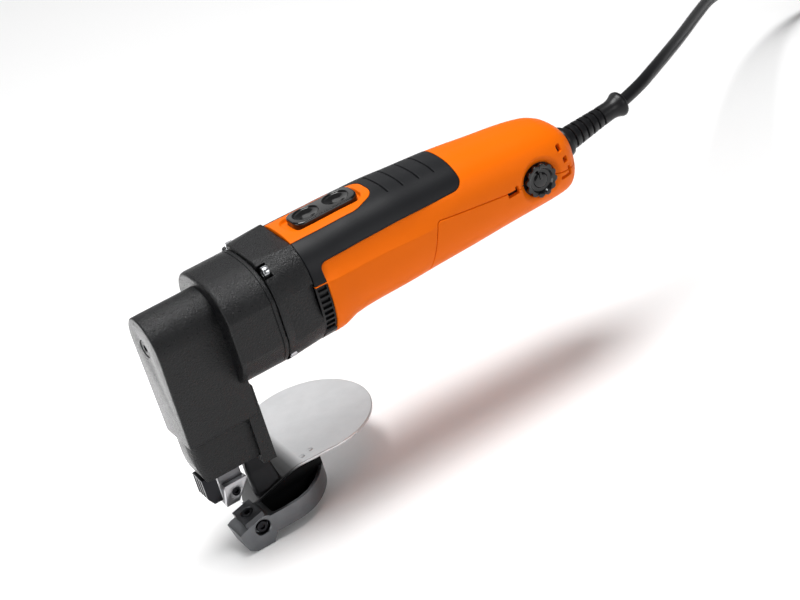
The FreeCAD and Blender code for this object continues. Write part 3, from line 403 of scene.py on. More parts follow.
def to_object(name, mesh, drop=None, skirt=2.0, sharp=42, skirt_dir=None):
    V, Q, L = mesh
    used = np.zeros(len(V), bool)
    if len(Q):
        used[Q.ravel()] = True
    for g in L:
        used[g] = True
    remap = -np.ones(len(V), int)
    remap[used] = np.arange(used.sum())
    V = V[used]
    faces = [list(q) for q in remap[Q]] if len(Q) else []
    faces += [[int(remap[i]) for i in g] for g in L]
    base, N = V[:, :3], V[:, 3:6]
    pos_ = base - N * (drop(V)[:, None] if drop is not None else 0.0)
    if skirt:
        count = {}
        for g in faces:
            for a, b in zip(g, g[1:] + g[:1]):
                k = (a, b) if a < b else (b, a)
                count[k] = (count.get(k, (0, 0, 0))[0] + 1, a, b)
        edges = [(a, b) for c, a, b in count.values() if c == 1]
        low, extra = {}, []
        for a, b in edges:
            for i in (a, b):
                if i not in low:
                    low[i] = len(pos_) + len(extra)
                    d = N[i] if skirt_dir is None else -np.array(skirt_dir, float)
                    extra.append(pos_[i] - d * skirt)
        if extra:
            pos_ = np.vstack([pos_, np.array(extra)])
            faces += [[b, a, low[a], low[b]] for a, b in edges]
    return mesh_from(name, pos_, faces, sharp)


def sd_poly(X, Y, pts):
    """Signed distance to a closed polygon, negative inside."""
    P = np.asarray(pts, float)
    Qn = np.roll(P, -1, 0)
    best = np.full(X.shape, 1e18)
    ins = np.zeros(X.shape, bool)
    for (ax, ay), (bx, by) in zip(P, Qn):
        ex, ey = bx - ax, by - ay
        L2 = ex * ex + ey * ey
        if L2 < 1e-12:
            continue
        t = np.clip(((X - ax) * ex + (Y - ay) * ey) / L2, 0, 1)
        dx, dy = X - (ax + t * ex), Y - (ay + t * ey)
        best = np.minimum(best, dx * dx + dy * dy)
        c = (ay > Y) != (by > Y)
        with np.errstate(divide="ignore", invalid="ignore"):
            xi = ax + (Y - ay) * ex / (ey if abs(ey) > 1e-12 else 1e-12)
        ins ^= c & (X < xi)
    return np.where(ins, -1, 1) * np.sqrt(best)


def round_poly(pts, r, n=6):
    """Straight-sided outline with corners rounded to radius r (a number or one per corner)."""
    P = [np.array(p, float) for p in pts]
    out = []
    rs = r if hasattr(r, "__len__") else [r] * len(P)
    for i, b in enumerate(P):
        a, c = P[i - 1], P[(i + 1) % len(P)]
        u, v = a - b, c - b
        lu, lv = np.linalg.norm(u), np.linalg.norm(v)
        u, v = u / lu, v / lv
        ang = math.acos(max(-1, min(1, float(u @ v))))
        rr = rs[i]
        if rr <= 0 or ang > math.pi - 0.05:
            out.append(tuple(b)); continue
        t = min(rr / math.tan(ang / 2), 0.48 * lu, 0.48 * lv)
        rr = t * math.tan(ang / 2)
        o = b + (u + v) / np.linalg.norm(u + v) * (rr / math.sin(ang / 2))
        p0, p1 = b + u * t, b + v * t
        a0 = math.atan2(*(p0 - o)[::-1]); a1 = math.atan2(*(p1 - o)[::-1])
        da = (a1 - a0 + math.pi) % (2 * math.pi) - math.pi
        for k in range(n + 1):
            q = a0 + da * k / n
            out.append((o[0] + rr * math.cos(q), o[1] + rr * math.sin(q)))
    return out


def sd_box(X, Y, x0, x1, y0, y1, r=0.0):
    cx, cy, hx, hy = (x0 + x1) / 2, (y0 + y1) / 2, (x1 - x0) / 2 - r, (y1 - y0) / 2 - r
    qx, qy = np.abs(X - cx) - hx, np.abs(Y - cy) - hy
    return np.hypot(np.maximum(qx, 0), np.maximum(qy, 0)) + np.minimum(np.maximum(qx, qy), 0) - r


def sd_seg(X, Y, a, b, r):
    ex, ey = b[0] - a[0], b[1] - a[1]
    t = np.clip(((X - a[0]) * ex + (Y - a[1]) * ey) / (ex * ex + ey * ey), 0, 1)
    return np.hypot(X - a[0] - t * ex, Y - a[1] - t * ey) - r


def socket_cap(name, p, d, r, h, shank=None, mat="zinc_steel", sock=None, edge=0.45, n=40):
    """Cap screw with a hexagon socket; the head rises from p against d."""
    d3 = Vector(d).normalized()
    prof = [(0.0, r), (h - edge, r), (h - edge * 0.3, r - edge * 0.3), (h, r - edge)]
    o = lathe(name, p, -d3, prof, n)
    s = sock or r * 0.52
    dd, u, v = frame_of(d3)
    top = Vector(p) - d3 * (h + 1.0)
    hexa = [tuple(top + (u * math.cos(math.pi / 3 * i) + v * math.sin(math.pi / 3 * i)) * s) for i in range(6)]
    c = prism("c", hexa, tuple(d3 * (1.0 + h * 0.62)))
    boolean(o, c)
    bevel(o, 0.12, 2)
    bake(o, 35)
    return o


# ------------------------------------------------------------------ cord: first, because it sets the room
ROUTE = [(0.291, 0.016, 0.1284), (0.3065, 0.0206, 0.1294), (0.325, 0.0335, 0.1272), (0.350, 0.0555, 0.1205), (0.3805, 0.086, 0.1095), (0.4165, 0.124, 0.096),
         (0.456, 0.165, 0.081), (0.496, 0.1995, 0.061), (0.534, 0.222, 0.0365), (0.571, 0.2315, 0.0145), (0.603, 0.2265, 0.0037), (0.6295, 0.211, 0.0037)]
CORD_D = 0.0073
CC = (0.6045, 0.1645)
pts = list(ROUTE)
PER = 18
STEP = 2 * math.pi / PER
K = 1 / math.cos(math.pi / PER) * 0.9985
theta = math.radians(60.8)
R_IN, R_OUT, PITCH = 0.03085, 0.05335, 0.0075


def coil_pt(r, z):
    pts.append((CC[0] + r * K * math.cos(theta), CC[1] + r * K * math.sin(theta), z))


z, outward = 0.0037, False
for layer in range(4):
    turns = 3.0 if layer < 3 else 3.169
    k = int(round(turns * PER))
    r0 = R_IN if outward else R_OUT
    for i in range(1 if layer == 0 else 0, k + 1):
        r = r0 + (PITCH if outward else -PITCH) * i / PER
        if layer == 0 and i < 4:
            r = R_OUT
        theta_i = theta
        if layer or i:
            theta -= STEP if not (layer and i == 0) else 0.0
        coil_pt(r, z)
    if layer < 3:
        z1 = z + 0.0074
        r = R_OUT if outward else R_IN
        q = 5
        for i in range(1, q + 1):
            theta -= STEP
            t = i / q
            coil_pt(r, z + (z1 - z) * t * t * (3 - 2 * t))
        z = z1
        outward = not outward
# the free end goes down round the outside of the coil and into the plug
a = theta
end_a = math.radians(-90)
while a > end_a:
    a -= 2 * math.pi
a += 2 * math.pi
for t, r, zz in ((0.12, 0.0571, 0.0262), (0.25, 0.0592, 0.0259), (0.38, 0.0608, 0.0243), (0.50, 0.0616, 0.0217), (0.62, 0.0616, 0.0187), (0.74, 0.0616, 0.0161), (0.86, 0.0616, 0.0141), (0.94, 0.0615, 0.0134)):
    ang = a + (end_a - a) * t
    pts.append((CC[0] + r * math.cos(ang), CC[1] + r * math.sin(ang), zz))
pts.append((0.6115, 0.1030, 0.0132))
pts.append((0.6037, 0.1030, 0.0132))
cu = bpy.data.curves.new("cord", "CURVE")
cu.dimensions = "3D"
cu.bevel_depth = CORD_D / 2
cu.bevel_resolution = 6
cu.resolution_u = 6
cu.use_fill_caps = True
sp = cu.splines.new("NURBS")
sp.points.add(len(pts) - 1)
for q, p in zip(sp.points, pts):
    q.co = (*p, 1.0)
sp.order_u = 3
sp.use_endpoint_u = True
cord = bpy.data.objects.new("cord", cu)
scene.collection.objects.link(cord)
finish_obj(cord, "black_rubber", "housing", ["cord_tube", "cord_coil"])

# plug, generic, on the floor beside the coil
plug = lathe("plug_body_detail", (622.5, 91.0, -107.8), (-1, 0, 0),
             [(0, 4.5), (0.4, 4.9), (3.0, 5.2), (3.3, 4.8), (4.3, 4.8), (4.6, 5.5), (7.6, 5.9), (7.9, 5.3), (8.9, 5.3), (9.2, 6.1), (12.2, 6.5), (12.5, 5.9), (13.5, 5.9), (13.8, 6.8),
              (16.8, 7.2), (17.1, 6.6), (18.1, 6.6), (18.4, 7.5), (22.0, 8.1), (26.0, 8.9), (29.0, 10.2), (32.5, 12.0), (36.0, 12.8), (38.0, 13.0), (50.6, 13.0), (51.6, 12.7), (52.0, 12.0)], 64)
finish_obj(plug, "black_rubber", "housing", ["plug_body"])
pins = join([lathe("p", (571.0, 91.0 + s * 9.5, -107.8), (-1, 0, 0), [(0, 2.2), (0.9, 2.2), (0.95, 2.4), (18.2, 2.4), (19.1, 2.1), (19.5, 1.5)], 32) for s in (-1, 1)], "plug_pins_detail")
finish_obj(pins, "nickel_pins", "housing", ["plug_pins"])


# ------------------------------------------------------------------ head
R_H, ZC_H = 17.8, 11.6
DZ = 6.5


def head_pts(x, r, mid, low, bot, step, zc=ZC_H, n=44):
    a0 = math.radians(4)
    p = []
    for i in range(n + 1):
        a = -a0 + (math.pi + 2 * a0) * i / n
        p.append((x, r * math.cos(a), zc + r * math.sin(a)))
    p += [(x, -mid, step), (x, mid, step)] if low is None else [(x, -mid, step + 5.5), (x, -low, step), (x, -low, bot), (x, low, bot), (x, low, step), (x, mid, step + 5.5)]
    return p


up_part = prism("head_a", head_pts(0, R_H, 15.0, None, 0, -47.6), (42.5, 0, 0))
bevel(up_part, 1.15, 4, 50); bake(up_part, 30)
prof = [(12.0, -72.0), (36.6, -72.0), (36.6, -44.0), (0.25, -44.0), (0.25, -52.0)]
arc = [(62.0 - 61.75 * math.cos(t), -52.0 - 61.75 * math.sin(t)) for t in [math.radians(18.9) * i / 12 for i in range(1, 13)]]
foot_xz = [(0.25, -44.0), (0.25, -52.0)] + arc + [(36.6, -72.0), (36.6, -44.0)]
foot = prism("head_b", [(x, -12.4, zz) for x, zz in foot_xz], (0, 21.2, 0))
c = boxo("c", 8.2, 30.2, -5.2, 5.2, -90, -50)
boolean(foot, c)
for sy_, yc_ in ((-1, -12.4), (1, 8.8)):
    RC = 7.5
    q_ = [(RC - RC * math.sin(t), yc_ - sy_ * (RC - RC * math.cos(t))) for t in [math.pi / 2 * i / 12 for i in range(13)]]
    cut_ = [(-2.0, yc_ + sy_ * 2.0), (RC, yc_ + sy_ * 2.0)] + [(x, y) for x, y in q_] + [(-2.0, yc_ - sy_ * RC)]
    boolean(foot, prism("c", [(x, y, -80.0) for x, y in cut_], (0, 0, 36.5)))
bevel(foot, 1.3, 5, 40); bake(foot, 32)
strip_ = boxo("head_c", 36.0, 43.8, -14.5, 8.4, -77.0, -30.0)
boolean(strip_, boxo("c", 31.0, 45.0, -1.6, 8.6, -80, -71.9))
for zz in (-58.0, -67.0):
    boolean(strip_, cyl("c", (50, -2.0, zz), (-1, 0, 0), 2.1, 20))
bevel(strip_, 1.0, 4, 40); bake(strip_, 32)
boolean(up_part, cyl("c", (-2, 0, ZC_H), (1, 0, 0), 5.25, 5.0, 64))
bevel(up_part, 0.25, 2, 60); bake(up_part, 32)
head = join([up_part, foot, strip_], "head_casting")
for p in head.data.polygons:
    p.use_smooth = True
head.data.set_sharp_from_angle(angle=math.radians(30))
finish_obj(head, "black_casting", "housing", ["head_housing"])
plug_f = lathe("head_plug_detail", (3.4, 0, ZC_H), (-1, 0, 0), [(0, 5.1), (2.7, 5.1), (3.0, 4.85), (3.02, 2.1), (2.8, 1.9), (1.6, 1.9)], 64)
finish_obj(plug_f, "black_casting", "housing", ["head_front_plug"])
hs = join([socket_cap("s", (43.85, -2.0, zz), (-1, 0, 0), 3.4, 1.9) for zz in (-58.0, -67.0)], "holder_screws_detail")
finish_obj(hs, "black_steel", "housing", ["holder_screws"])


# ------------------------------------------------------------------ collar, gear housing, motor body
def spow(v, p):
    return np.sign(v) * np.abs(v) ** p


def sect(x, w, zc, bt, bb, pt, pb, ang):
    """Closed cross-section; each argument may be an array down the length."""
    x, w, zc, bt, bb, pt, pb = [np.broadcast_to(np.asarray(q, float), np.shape(x))[:, None] for q in (x, w, zc, bt, bb, pt, pb)]
    c_, s_ = np.cos(ang)[None, :], np.sin(ang)[None, :]
    p = np.where(s_ >= 0, pt, pb)
    b = np.where(s_ >= 0, bt, bb)
    Y = w * spow(c_, 2 / p)
    Z = zc + b * spow(s_, 2 / p)
    return np.stack([np.broadcast_to(x, Y.shape), Y, Z], -1)


def even_angles(n, p=2.5, w=30.0, b=30.0):
    """Angles that space the points of a squarish section evenly."""
    a = np.linspace(0, 2 * np.pi, 6001)
    P = np.stack([w * spow(np.cos(a), 2 / p), b * spow(np.sin(a), 2 / p)], -1)
    s = np.concatenate([[0], np.cumsum(np.linalg.norm(np.diff(P, axis=0), axis=1))])
    return np.interp(np.linspace(0, s[-1], n, endpoint=False), s, a)


def arclen(P):
    """Distance round the section from the crown (y = 0 on top), signed like y."""
    nu, nv = P.shape[:2]
    seg = np.linalg.norm(np.roll(P, -1, 1) - P, axis=2)
    s = np.concatenate([np.zeros((nu, 1)), np.cumsum(seg, 1)[:, :-1]], 1)
    tot = seg.sum(1, keepdims=True)
    # crown: the vertex with the largest z nearest y = 0
    k = np.argmin(np.abs(P[:, :, 1]) + np.where(P[:, :, 2] > P[:, :, 2].mean(1, keepdims=True), 0, 1e3), axis=1)
    ref = s[np.arange(nu), k][:, None] + P[np.arange(nu), k, 1][:, None]
    t = ref - s
    t = (t + tot / 2) % tot - tot / 2
    return t


ANG = even_angles(360)
# collar with a rounded front rim and a fine groove near its rear edge
cx = np.array([37.2, 37.2, 37.22, 37.32, 37.5, 37.8, 38.2, 38.7, 39.2, 39.8] + list(np.linspace(41, 61.4, 26)) + [62.0, 62.12, 62.3, 62.6, 62.75, 62.9, 63.5, 64.3, 64.6, 64.85, 65.0, 65.1, 65.1])
ins = np.interp(cx, [37.2, 37.32, 37.5, 37.8, 38.2, 38.7, 39.2, 39.8, 64.5, 64.85, 65.0, 65.1], [1.9, 1.25, 0.95, 0.62, 0.36, 0.16, 0.05, 0.0, 0.0, 0.1, 0.25, 0.5])
ins[0], ins[1] = 17.0, 2.2
ins[-1] = 4.0
groove = np.where((cx > 62.2) & (cx < 62.7), 0.45, 0.0)
ins = ins + groove
CP = sect(cx, 32.5 - ins, 4.6, 29.9 - ins, 33.6 - ins, 2.6, 2.1, ANG)
flat = (30.9 - np.minimum(ins, 2.0))[:, None]
CP[:, :, 1] = np.clip(CP[:, :, 1], -flat, flat)
V, Q, L = grid(CP, True)
col_o = to_object("collar_detail", (V, Q, L), None, 0.0, 38)
finish_obj(col_o, "black_casting", "housing", ["collar"])

# gear housing: rounded edges, screw pockets in the corners, side panels let in below a ledge
gx = np.array([65.4, 65.4, 65.5, 65.7, 66.0, 66.4] + list(np.linspace(67, 87.0, 56)) + [87.3, 87.6, 87.8, 87.95, 88.0, 88.0])
gk = np.interp(gx, [65.4, 88.0], [0, 1])
gin = np.interp(gx, [65.4, 65.5, 65.7, 66.0, 66.4, 87.3, 87.6, 87.8, 87.95, 88.0], [0.75, 0.5, 0.25, 0.08, 0.0, 0.0, 0.05, 0.15, 0.35, 0.6])
gin[0] = 6.0; gin[-1] = 6.0
GP = sect(gx, 32.0 - 0.8 * gk - gin, 5.2 + 0.8 * gk, 31.0 + 0.8 * gk - gin, 33.4 - 1.0 * gk - gin, 3.1, 2.4, even_angles(420, 2.8))
GP[:, :, 2] = np.minimum(GP[:, :, 2], (35.75 + 0.3 * gk - np.minimum(gin, 2.0))[:, None])
GV, GQ, GL = grid(GP, True)


def panel_sd(V):
    return sd_box(V[:, 0], V[:, 2], 70.0, 92.0, -15.0, 17.0, 1.4)


gm = rings((GV, GQ, GL), panel_sd, [0.5, 0.12, -0.05, -0.25, -0.5, -1.0])
gh = to_object("gear_housing_detail", gm, lambda V: np.where(np.abs(V[:, 1]) > 20, smoothstep(0.12, -0.5, panel_sd(V)) * np.clip(np.abs(V[:, 1]) - 29.4, 0, 3) * 1.0, 0), 0.0, 40)
bm = bmesh.new(); bm.from_mesh(gh.data)
bmesh.ops.holes_fill(bm, edges=[e for e in bm.edges if len(e.link_faces) == 1], sides=0)
bm.to_mesh(gh.data); bm.free()
SCREW_YZ = [(20.3, 30.4), (-20.3, 30.4), (20.3, -18.6), (-20.3, -18.6)]
for (y, zz) in SCREW_YZ:
    sz = 1 if zz > 0 else -1
    # pocket open to the corner: a slot with a round inner end
    ctr = Vector((0, y, zz))
    outd = Vector((0, 1 if y > 0 else -1, sz * 0.9)).normalized()
    side = Vector((0, -outd.z, outd.y))
    prof_ = [tuple(Vector((60.0, y, zz)) + outd * (4.6 * math.cos(t)) + side * (4.6 * math.sin(t))) for t in [math.pi / 2 + math.pi * i / 20 for i in range(21)]]
    prof_ += [tuple(Vector((60.0, y, zz)) + outd * 14 - side * 4.6), tuple(Vector((60.0, y, zz)) + outd * 14 + side * 4.6)]
    boolean(gh, prism("c", prof_, (10.42, 0, 0)))
for p in gh.data.polygons:
    p.use_smooth = True
gh.data.set_sharp_from_angle(angle=math.radians(30))
finish_obj(gh, "black_casting", "housing", ["gear_housing"])
gs = join([socket_cap("s", (70.4, y, zz), (1, 0, 0), 3.5, 3.6, edge=0.5) for y, zz in SCREW_YZ], "gear_housing_screws_detail")
finish_obj(gs, "zinc_steel", "housing", ["gear_housing_screws"])

BODY = np.array([
    (88.0, 31.2, 6.0, 31.8, 32.4), (100.0, 31.6, 6.0, 31.6, 31.8), (112.0, 30.4, 7.4, 30.2, 29.9),
    (124.0, 29.8, 7.9, 29.8, 29.5), (145.0, 29.4, 7.9, 29.4, 29.2), (165.0, 28.4, 7.5, 28.4, 28.2),
    (191.0, 27.1, 6.9, 27.1, 27.1), (215.0, 25.4, 5.7, 25.4, 25.2), (235.0, 24.0, 4.7, 24.0, 24.0),
    (248.5, 22.6, 3.4, 22.5, 22.2), (255.2, 20.6, 2.6, 20.2, 20.4), (260.0, 16.6, 2.4, 16.2, 16.6),
    (262.6, 12.2, 2.3, 12.0, 12.4), (263.6, 9.6, 2.4, 9.6, 9.6)])
bx = np.concatenate([np.linspace(88.2, 248, 356), np.linspace(248, 259.6, 36)[1:], np.linspace(259.6, 263.6, 26)[1:]])
cols = [pchip(BODY[:, 0], BODY[:, i], bx) for i in range(1, 5)]
BP = sect(bx, cols[0], cols[1], cols[2], cols[3], 2.5, 2.5, even_angles(440))
BV, BQ, BL = grid(BP, True, arclen(BP)[..., None])
# column 6 is the distance round the section from the crown


def zsplit(x):
    return 13.4 - 0.153 * (x - 166.0)


COVER = round_poly([(166.9, zsplit(166.9)), (290.0, zsplit(290.0)), (290.0, -60.0), (149.5, -60.0), (152.5, -34.0), (158.8, -9.0)], [2.5, 0, 0, 0, 20, 12])
sd_cover = lambda V: sd_poly(V[:, 0], V[:, 2], COVER)


def t_edge(x):
    """Half-width of the soft pad, measured round the section."""
    return np.interp(x, [88, 100, 124, 150, 180, 195], [33.6, 33.0, 32.0, 31.5, 29.6, 28.6])


PAD = round_poly([(70.0, 33.6), (100.0, 33.0), (150.0, 31.4), (188.6, 28.6), (188.6, -28.6), (150.0, -31.4), (100.0, -33.0), (70.0, -33.6)], [0, 40, 60, 7.5, 7.5, 60, 40, 0])
ISL = round_poly([(60.0, 15.8), (129.5, 15.2), (143.4, 9.0), (143.4, -9.0), (129.5, -15.2), (60.0, -15.8)], [0, 16, 8, 8, 16, 0])
sd_isl = lambda V: np.where(np.abs(V[:, 6]) < 45, sd_poly(V[:, 0], V[:, 6], ISL), 50.0)


def smin(a, b, k):
    h = np.clip(0.5 + 0.5 * (b - a) / k, 0, 1)
    return b * (1 - h) + a * h - k * h * (1 - h)


sd_tab = lambda V: np.where(np.abs(V[:, 1]) > 15, sd_box(V[:, 0], V[:, 2], 60.0, 95.6, 14.3, 40.0, 0.2), 30.0)
sd_pad = lambda V: np.maximum(smin(sd_poly(V[:, 0], V[:, 6], PAD), sd_tab(V), 4.5), -sd_isl(V))
sd_grille = lambda V: sd_box(V[:, 0], V[:, 2], 70.0, 95.7, -60.0, 13.5, 0.6)
sd_dial = lambda V: np.where(V[:, 1] < -12, np.hypot(V[:, 0] - 234.2, V[:, 2] - 3.2) - 10.15, 30.0)


def sd_vents(V):
    x, zz = V[:, 0], V[:, 2]
    d = np.full(x.shape, 30.0)
    for b in ((211.8, 219.2, 3.4, 6.4), (217.2, 219.2, 3.4, 8.0), (249.4, 252.4, 12.2, 16.2), (251.2, 254.2, 4.9, 8.4), (247.4, 255.0, -3.7, -1.9), (253.1, 255.0, -3.7, 2.2)):
        d = np.minimum(d, sd_box(x, zz, *b, 0.5))
    return np.where(np.abs(V[:, 1]) > 8, d, 30.0)


BAY = lambda V: np.where(np.abs(V[:, 6]) < 40, sd_box(V[:, 0], V[:, 6], 92.5, 138.6, -9.5, 9.5, 6.6), 30.0)
front = lambda V: 88.35 - V[:, 0]


def crease_drop(V):
    """A soft flat band along the side, between the crease and the pad."""
    x, zz, t = V[:, 0], V[:, 2], np.abs(V[:, 6])
    zc_ = np.interp(x, [88, 91, 110, 135, 160, 175, 200], [14.3, 14.0, 12.9, 12.3, 10.6, 12.0, 16.0])
    fade = smoothstep(182, 150, x) * smoothstep(86, 92, x)
    side = (np.abs(V[:, 1]) > 12) & (zz > -5)
    top = 26.0
    s = np.clip((zz - zc_) / (top - zc_), 0, 1)
    return np.where(side, 1.35 * fade * np.sin(np.pi * np.clip(s, 0, 1)) ** 0.85, 0.0)


def shell_drop(V):
    d = edge_drop(np.maximum(sd_pad(V) * -1 + 0.0, -9), 0.35)
    d = crease_drop(V)
    # rounded edges along seams
    d = d + edge_drop(-np.abs(sd_cover(V)) + 0.14, 0.55)
    d = d + edge_drop(-sd_pad(V) + 0.0, 0.3) * (sd_isl(V) < 20)
    d = d + edge_drop(front(V), 0.5) + edge_drop(-sd_grille(V), 0.4) + edge_drop(-sd_dial(V), 0.6) + edge_drop(-sd_vents(V), 0.3)
    # dished seat round the speed dial
    dd = np.hypot(V[:, 0] - 234.2, V[:, 2] - 3.2)
    d = d + np.where(V[:, 1] < -12, smoothstep(14.2, 10.4, dd) * np.clip(-V[:, 1] - 21.7 - 0.045 * (234.2 - V[:, 0]), 0, 4), 0.0)
    # switch bay let into the island, with a ramp at its front end
    b = BAY(V)
    depth = np.interp(V[:, 0], [90, 97.5, 141], [0.6, 1.9, 1.9])
    d = d + smoothstep(0.15, -0.9, b) * depth * (np.abs(V[:, 6]) < 20)
    return d


upper = (BV, BQ, BL)
upper = cut(upper, lambda V: -sd_cover(V) + 0.14)[0]
upper = rings(upper, lambda V: -sd_cover(V) + 0.14, [-0.07, -0.22, -0.55])
upper = cut(upper, lambda V: -sd_pad(V) + 0.06)[0]
upper = rings(upper, lambda V: -sd_pad(V) + 0.06, [-0.05, -0.15, -0.35])
for f, r in ((sd_grille, 0.4), (sd_dial, 0.6), (sd_vents, 0.3)):
    upper = cut(upper, lambda V, f=f: -f(V))[0]
    upper = rings(upper, lambda V, f=f: -f(V), [-0.12 * r, -0.4 * r, -r])
upper = cut(upper, front)[0]
upper = rings(upper, front, [-0.06, -0.2, -0.5])
upper = rings(upper, BAY, [0.15, -0.1, -0.35, -0.6, -0.9])
motor = to_object("motor_housing_detail", upper, shell_drop, 2.4, 40)
finish_obj(motor, "orange_plastic", "housing", ["motor_housing"])

cover = cut((BV, BQ, BL), lambda V: sd_cover(V) + 0.14)[0]
cover = rings(cover, lambda V: sd_cover(V) + 0.14, [-0.07, -0.22, -0.55])
for f, r in ((sd_dial, 0.6), (sd_vents, 0.3)):
    cover = cut(cover, lambda V, f=f: -f(V))[0]
    cover = rings(cover, lambda V, f=f: -f(V), [-0.12 * r, -0.4 * r, -r])
COV_SCREWS = [(196.0, 14.0), (196.0, -14.0), (243.0, 12.0), (243.0, -12.0)]
for sx_, sy_ in COV_SCREWS:
    f = lambda V, a=sx_, b=sy_: np.where(V[:, 2] < -5, np.hypot(V[:, 0] - a, V[:, 1] - b) - 3.75, 30.0)
    cover = cut(cover, lambda V, f=f: -f(V))[0]
    cover = rings(cover, lambda V, f=f: -f(V), [-0.08, -0.3])
cov = to_object("rear_cover_detail", cover, lambda V: shell_drop(V), 2.4, 40)
for k_, (sx_, sy_) in enumerate(COV_SCREWS):
    cp_ = lathe("cover_pocket_%d" % k_, (sx_, sy_, -14.3), (0, 0, 1), [(0.0, 3.74), (1.75, 3.7), (1.95, 3.4), (1.95, 1.5)], 48, 35, closed_ends=False)
    finish_obj(cp_, "orange_plastic", "housing")
finish_obj(cov, "orange_plastic", "housing", ["rear_cover"])


def grooves(V):
    x, t = V[:, 0], V[:, 6]
    d = np.full(x.shape, 30.0)
    for gx_ in (149.4, 158.8, 168.8, 178.2):
        d = np.minimum(d, sd_seg(x, t, (gx_ - 0.6, 12.0), (gx_ + 0.6, -13.5), 0.5))
    return np.where(np.abs(t) < 40, d, 30.0)


pad = cut((BV, BQ, BL), lambda V: sd_pad(V) + 0.1)[0]
pad = rings(pad, lambda V: sd_pad(V) + 0.1, [-0.08, -0.28, -0.7])
pad = cut(pad, front)[0]
pad = rings(pad, front, [-0.08, -0.28, -0.7])
pad = rings(pad, grooves, [0.25, 0.0, -0.22, -0.42])
gpad = to_object("grip_pad_detail", pad, lambda V: edge_drop(sd_pad(V) + 0.1, 0.7) + edge_drop(front(V), 0.7) + 1.15 * smoothstep(0.1, -0.42, grooves(V)) - 0.12, 1.6, 50)
finish_obj(gpad, "soft_black", "housing", ["grip_pad"])

# finned air inlets, just inside the shell's surface
gr = cut((BV, BQ, BL), lambda V: sd_grille(V) + 0.1)[0]
for k in range(8):
    f = lambda V, k=k: np.where(np.abs(V[:, 1]) > 20, sd_box(V[:, 0], V[:, 2], 89.4, 94.7, -15.9 + k * 3.7, -15.9 + k * 3.7 + 2.5, 0.3), 20)
    gr = cut(gr, lambda V, f=f: -f(V))[0]
gro = to_object("air_grilles_detail", gr, lambda V: np.where((np.abs(V[:, 1]) > 20) & (V[:, 2] > -17.2), 1.3, 0.15), 1.2, 40)
finish_obj(gro, "black_plastic", "housing", ["air_grilles"])
liner = to_object("shell_liner", (np.hstack([BV[:, :3] - BV[:, 3:6] * 2.9, BV[:, 3:]]), BQ, BL), None, 0, 60)
finish_obj(liner, "black_plastic", "housing")

# switch button: two thumb recesses in a long round-ended key
bxs, bys = np.linspace(96.4, 139.1, 215), np.linspace(-9.2, 9.2, 93)
BXg, BYg = np.meshgrid(bxs, bys, indexing="ij")


def btn_z(x, y):
    zt = 39.7 + 0 * x
    for cx_ in (107.2, 125.8):
        e = np.hypot((x - cx_) / 7.4, y / 6.5)
        zt = zt - 1.2 * smoothstep(1.0, 0.2, e) - 0.75 * smoothstep(1.05, 0.90, e)
    return zt - 0.5 * (y / 8.6) ** 2


BZg = btn_z(BXg, BYg)
bV, bQ, bL = grid(np.stack([BXg, BYg, BZg], -1))
if bV[:, 5].mean() < 0:
    bV[:, 3:6] *= -1
    bQ = bQ[:, ::-1]
sd_btn = lambda V: sd_box(V[:, 0], V[:, 1], 97.1, 136.4, -8.3, 8.3, 5.6)
bt = inside((bV, bQ, bL), sd_btn, 0.0, 1.1)
btn = to_object("switch_button_detail", bt, lambda V: edge_drop(sd_btn(V), 1.1), 3.2, 50, skirt_dir=(0, 0, -1))
finish_obj(btn, "gloss_black", "switch", ["switch_button"])

# speed dial with a knurled rim and an index notch, in its cup
n = 360
rim = []
for i in range(n):
    a_ = 2 * math.pi * i / n
    rim.append(9.9 - 1.1 * (0.5 + 0.5 * math.cos(a_ * 12)) ** 1.5)
prof_d = [(0.0, 0.99), (0.7, 1.0), (2.0, 1.0), (2.3, 0.985), (2.4, 0.95), (2.4, 0.905), (2.3, 0.80), (2.1, 0.74), (0.9, 0.66), (0.7, 0.60), (0.7, 0.46), (1.5, 0.40), (1.75, 0.34), (1.8, 0.02)]
verts, faces = [], []
for s_, k_ in prof_d:
    for i in range(n):
        a_ = 2 * math.pi * i / n
        r_ = rim[i] * k_ if k_ > 0.9 else 9.8 * k_
        verts.append((234.2 + r_ * math.cos(a_), -22.2 - s_, 3.2 + r_ * math.sin(a_)))
for j in range(len(prof_d) - 1):
    for i in range(n):
        faces.append([j * n + i, j * n + (i + 1) % n, (j + 1) * n + (i + 1) % n, (j + 1) * n + i])
faces.append(list(range(n))[::-1]); faces.append([(len(prof_d) - 1) * n + i for i in range(n)])
knob = mesh_from("k", verts, faces, 35, merge=True)
notch = boxo("n", 233.7, 234.7, -25.0, -24.15, 7.0, 13.5)
notch2 = boxo("n", 233.5, 234.9, -24.75, -24.2, 4.0, 8.6)
boolean(knob, notch)
hubd = cyl("h", (234.2, -22.4, 3.2), (0, 1, 0), 3.1, 6.8)
bevel(notch2, 0.2, 2); bake(notch2, 35)
dial = join([knob, hubd, notch2], "speed_dial_detail")
for p in dial.data.polygons:
    p.use_smooth = True
dial.data.set_sharp_from_angle(angle=math.radians(32))
finish_obj(dial, "gloss_black", "dial", ["speed_dial"])
cup = lathe("dial_cup", (234.2, -25.0, 3.2), (0, 1, 0), [(3.4, 10.3), (4.6, 10.25), (4.8, 10.0), (4.8, 3.5), (5.6, 3.4)], 96, 35, closed_ends=False)
finish_obj(cup, "black_plastic", "housing")

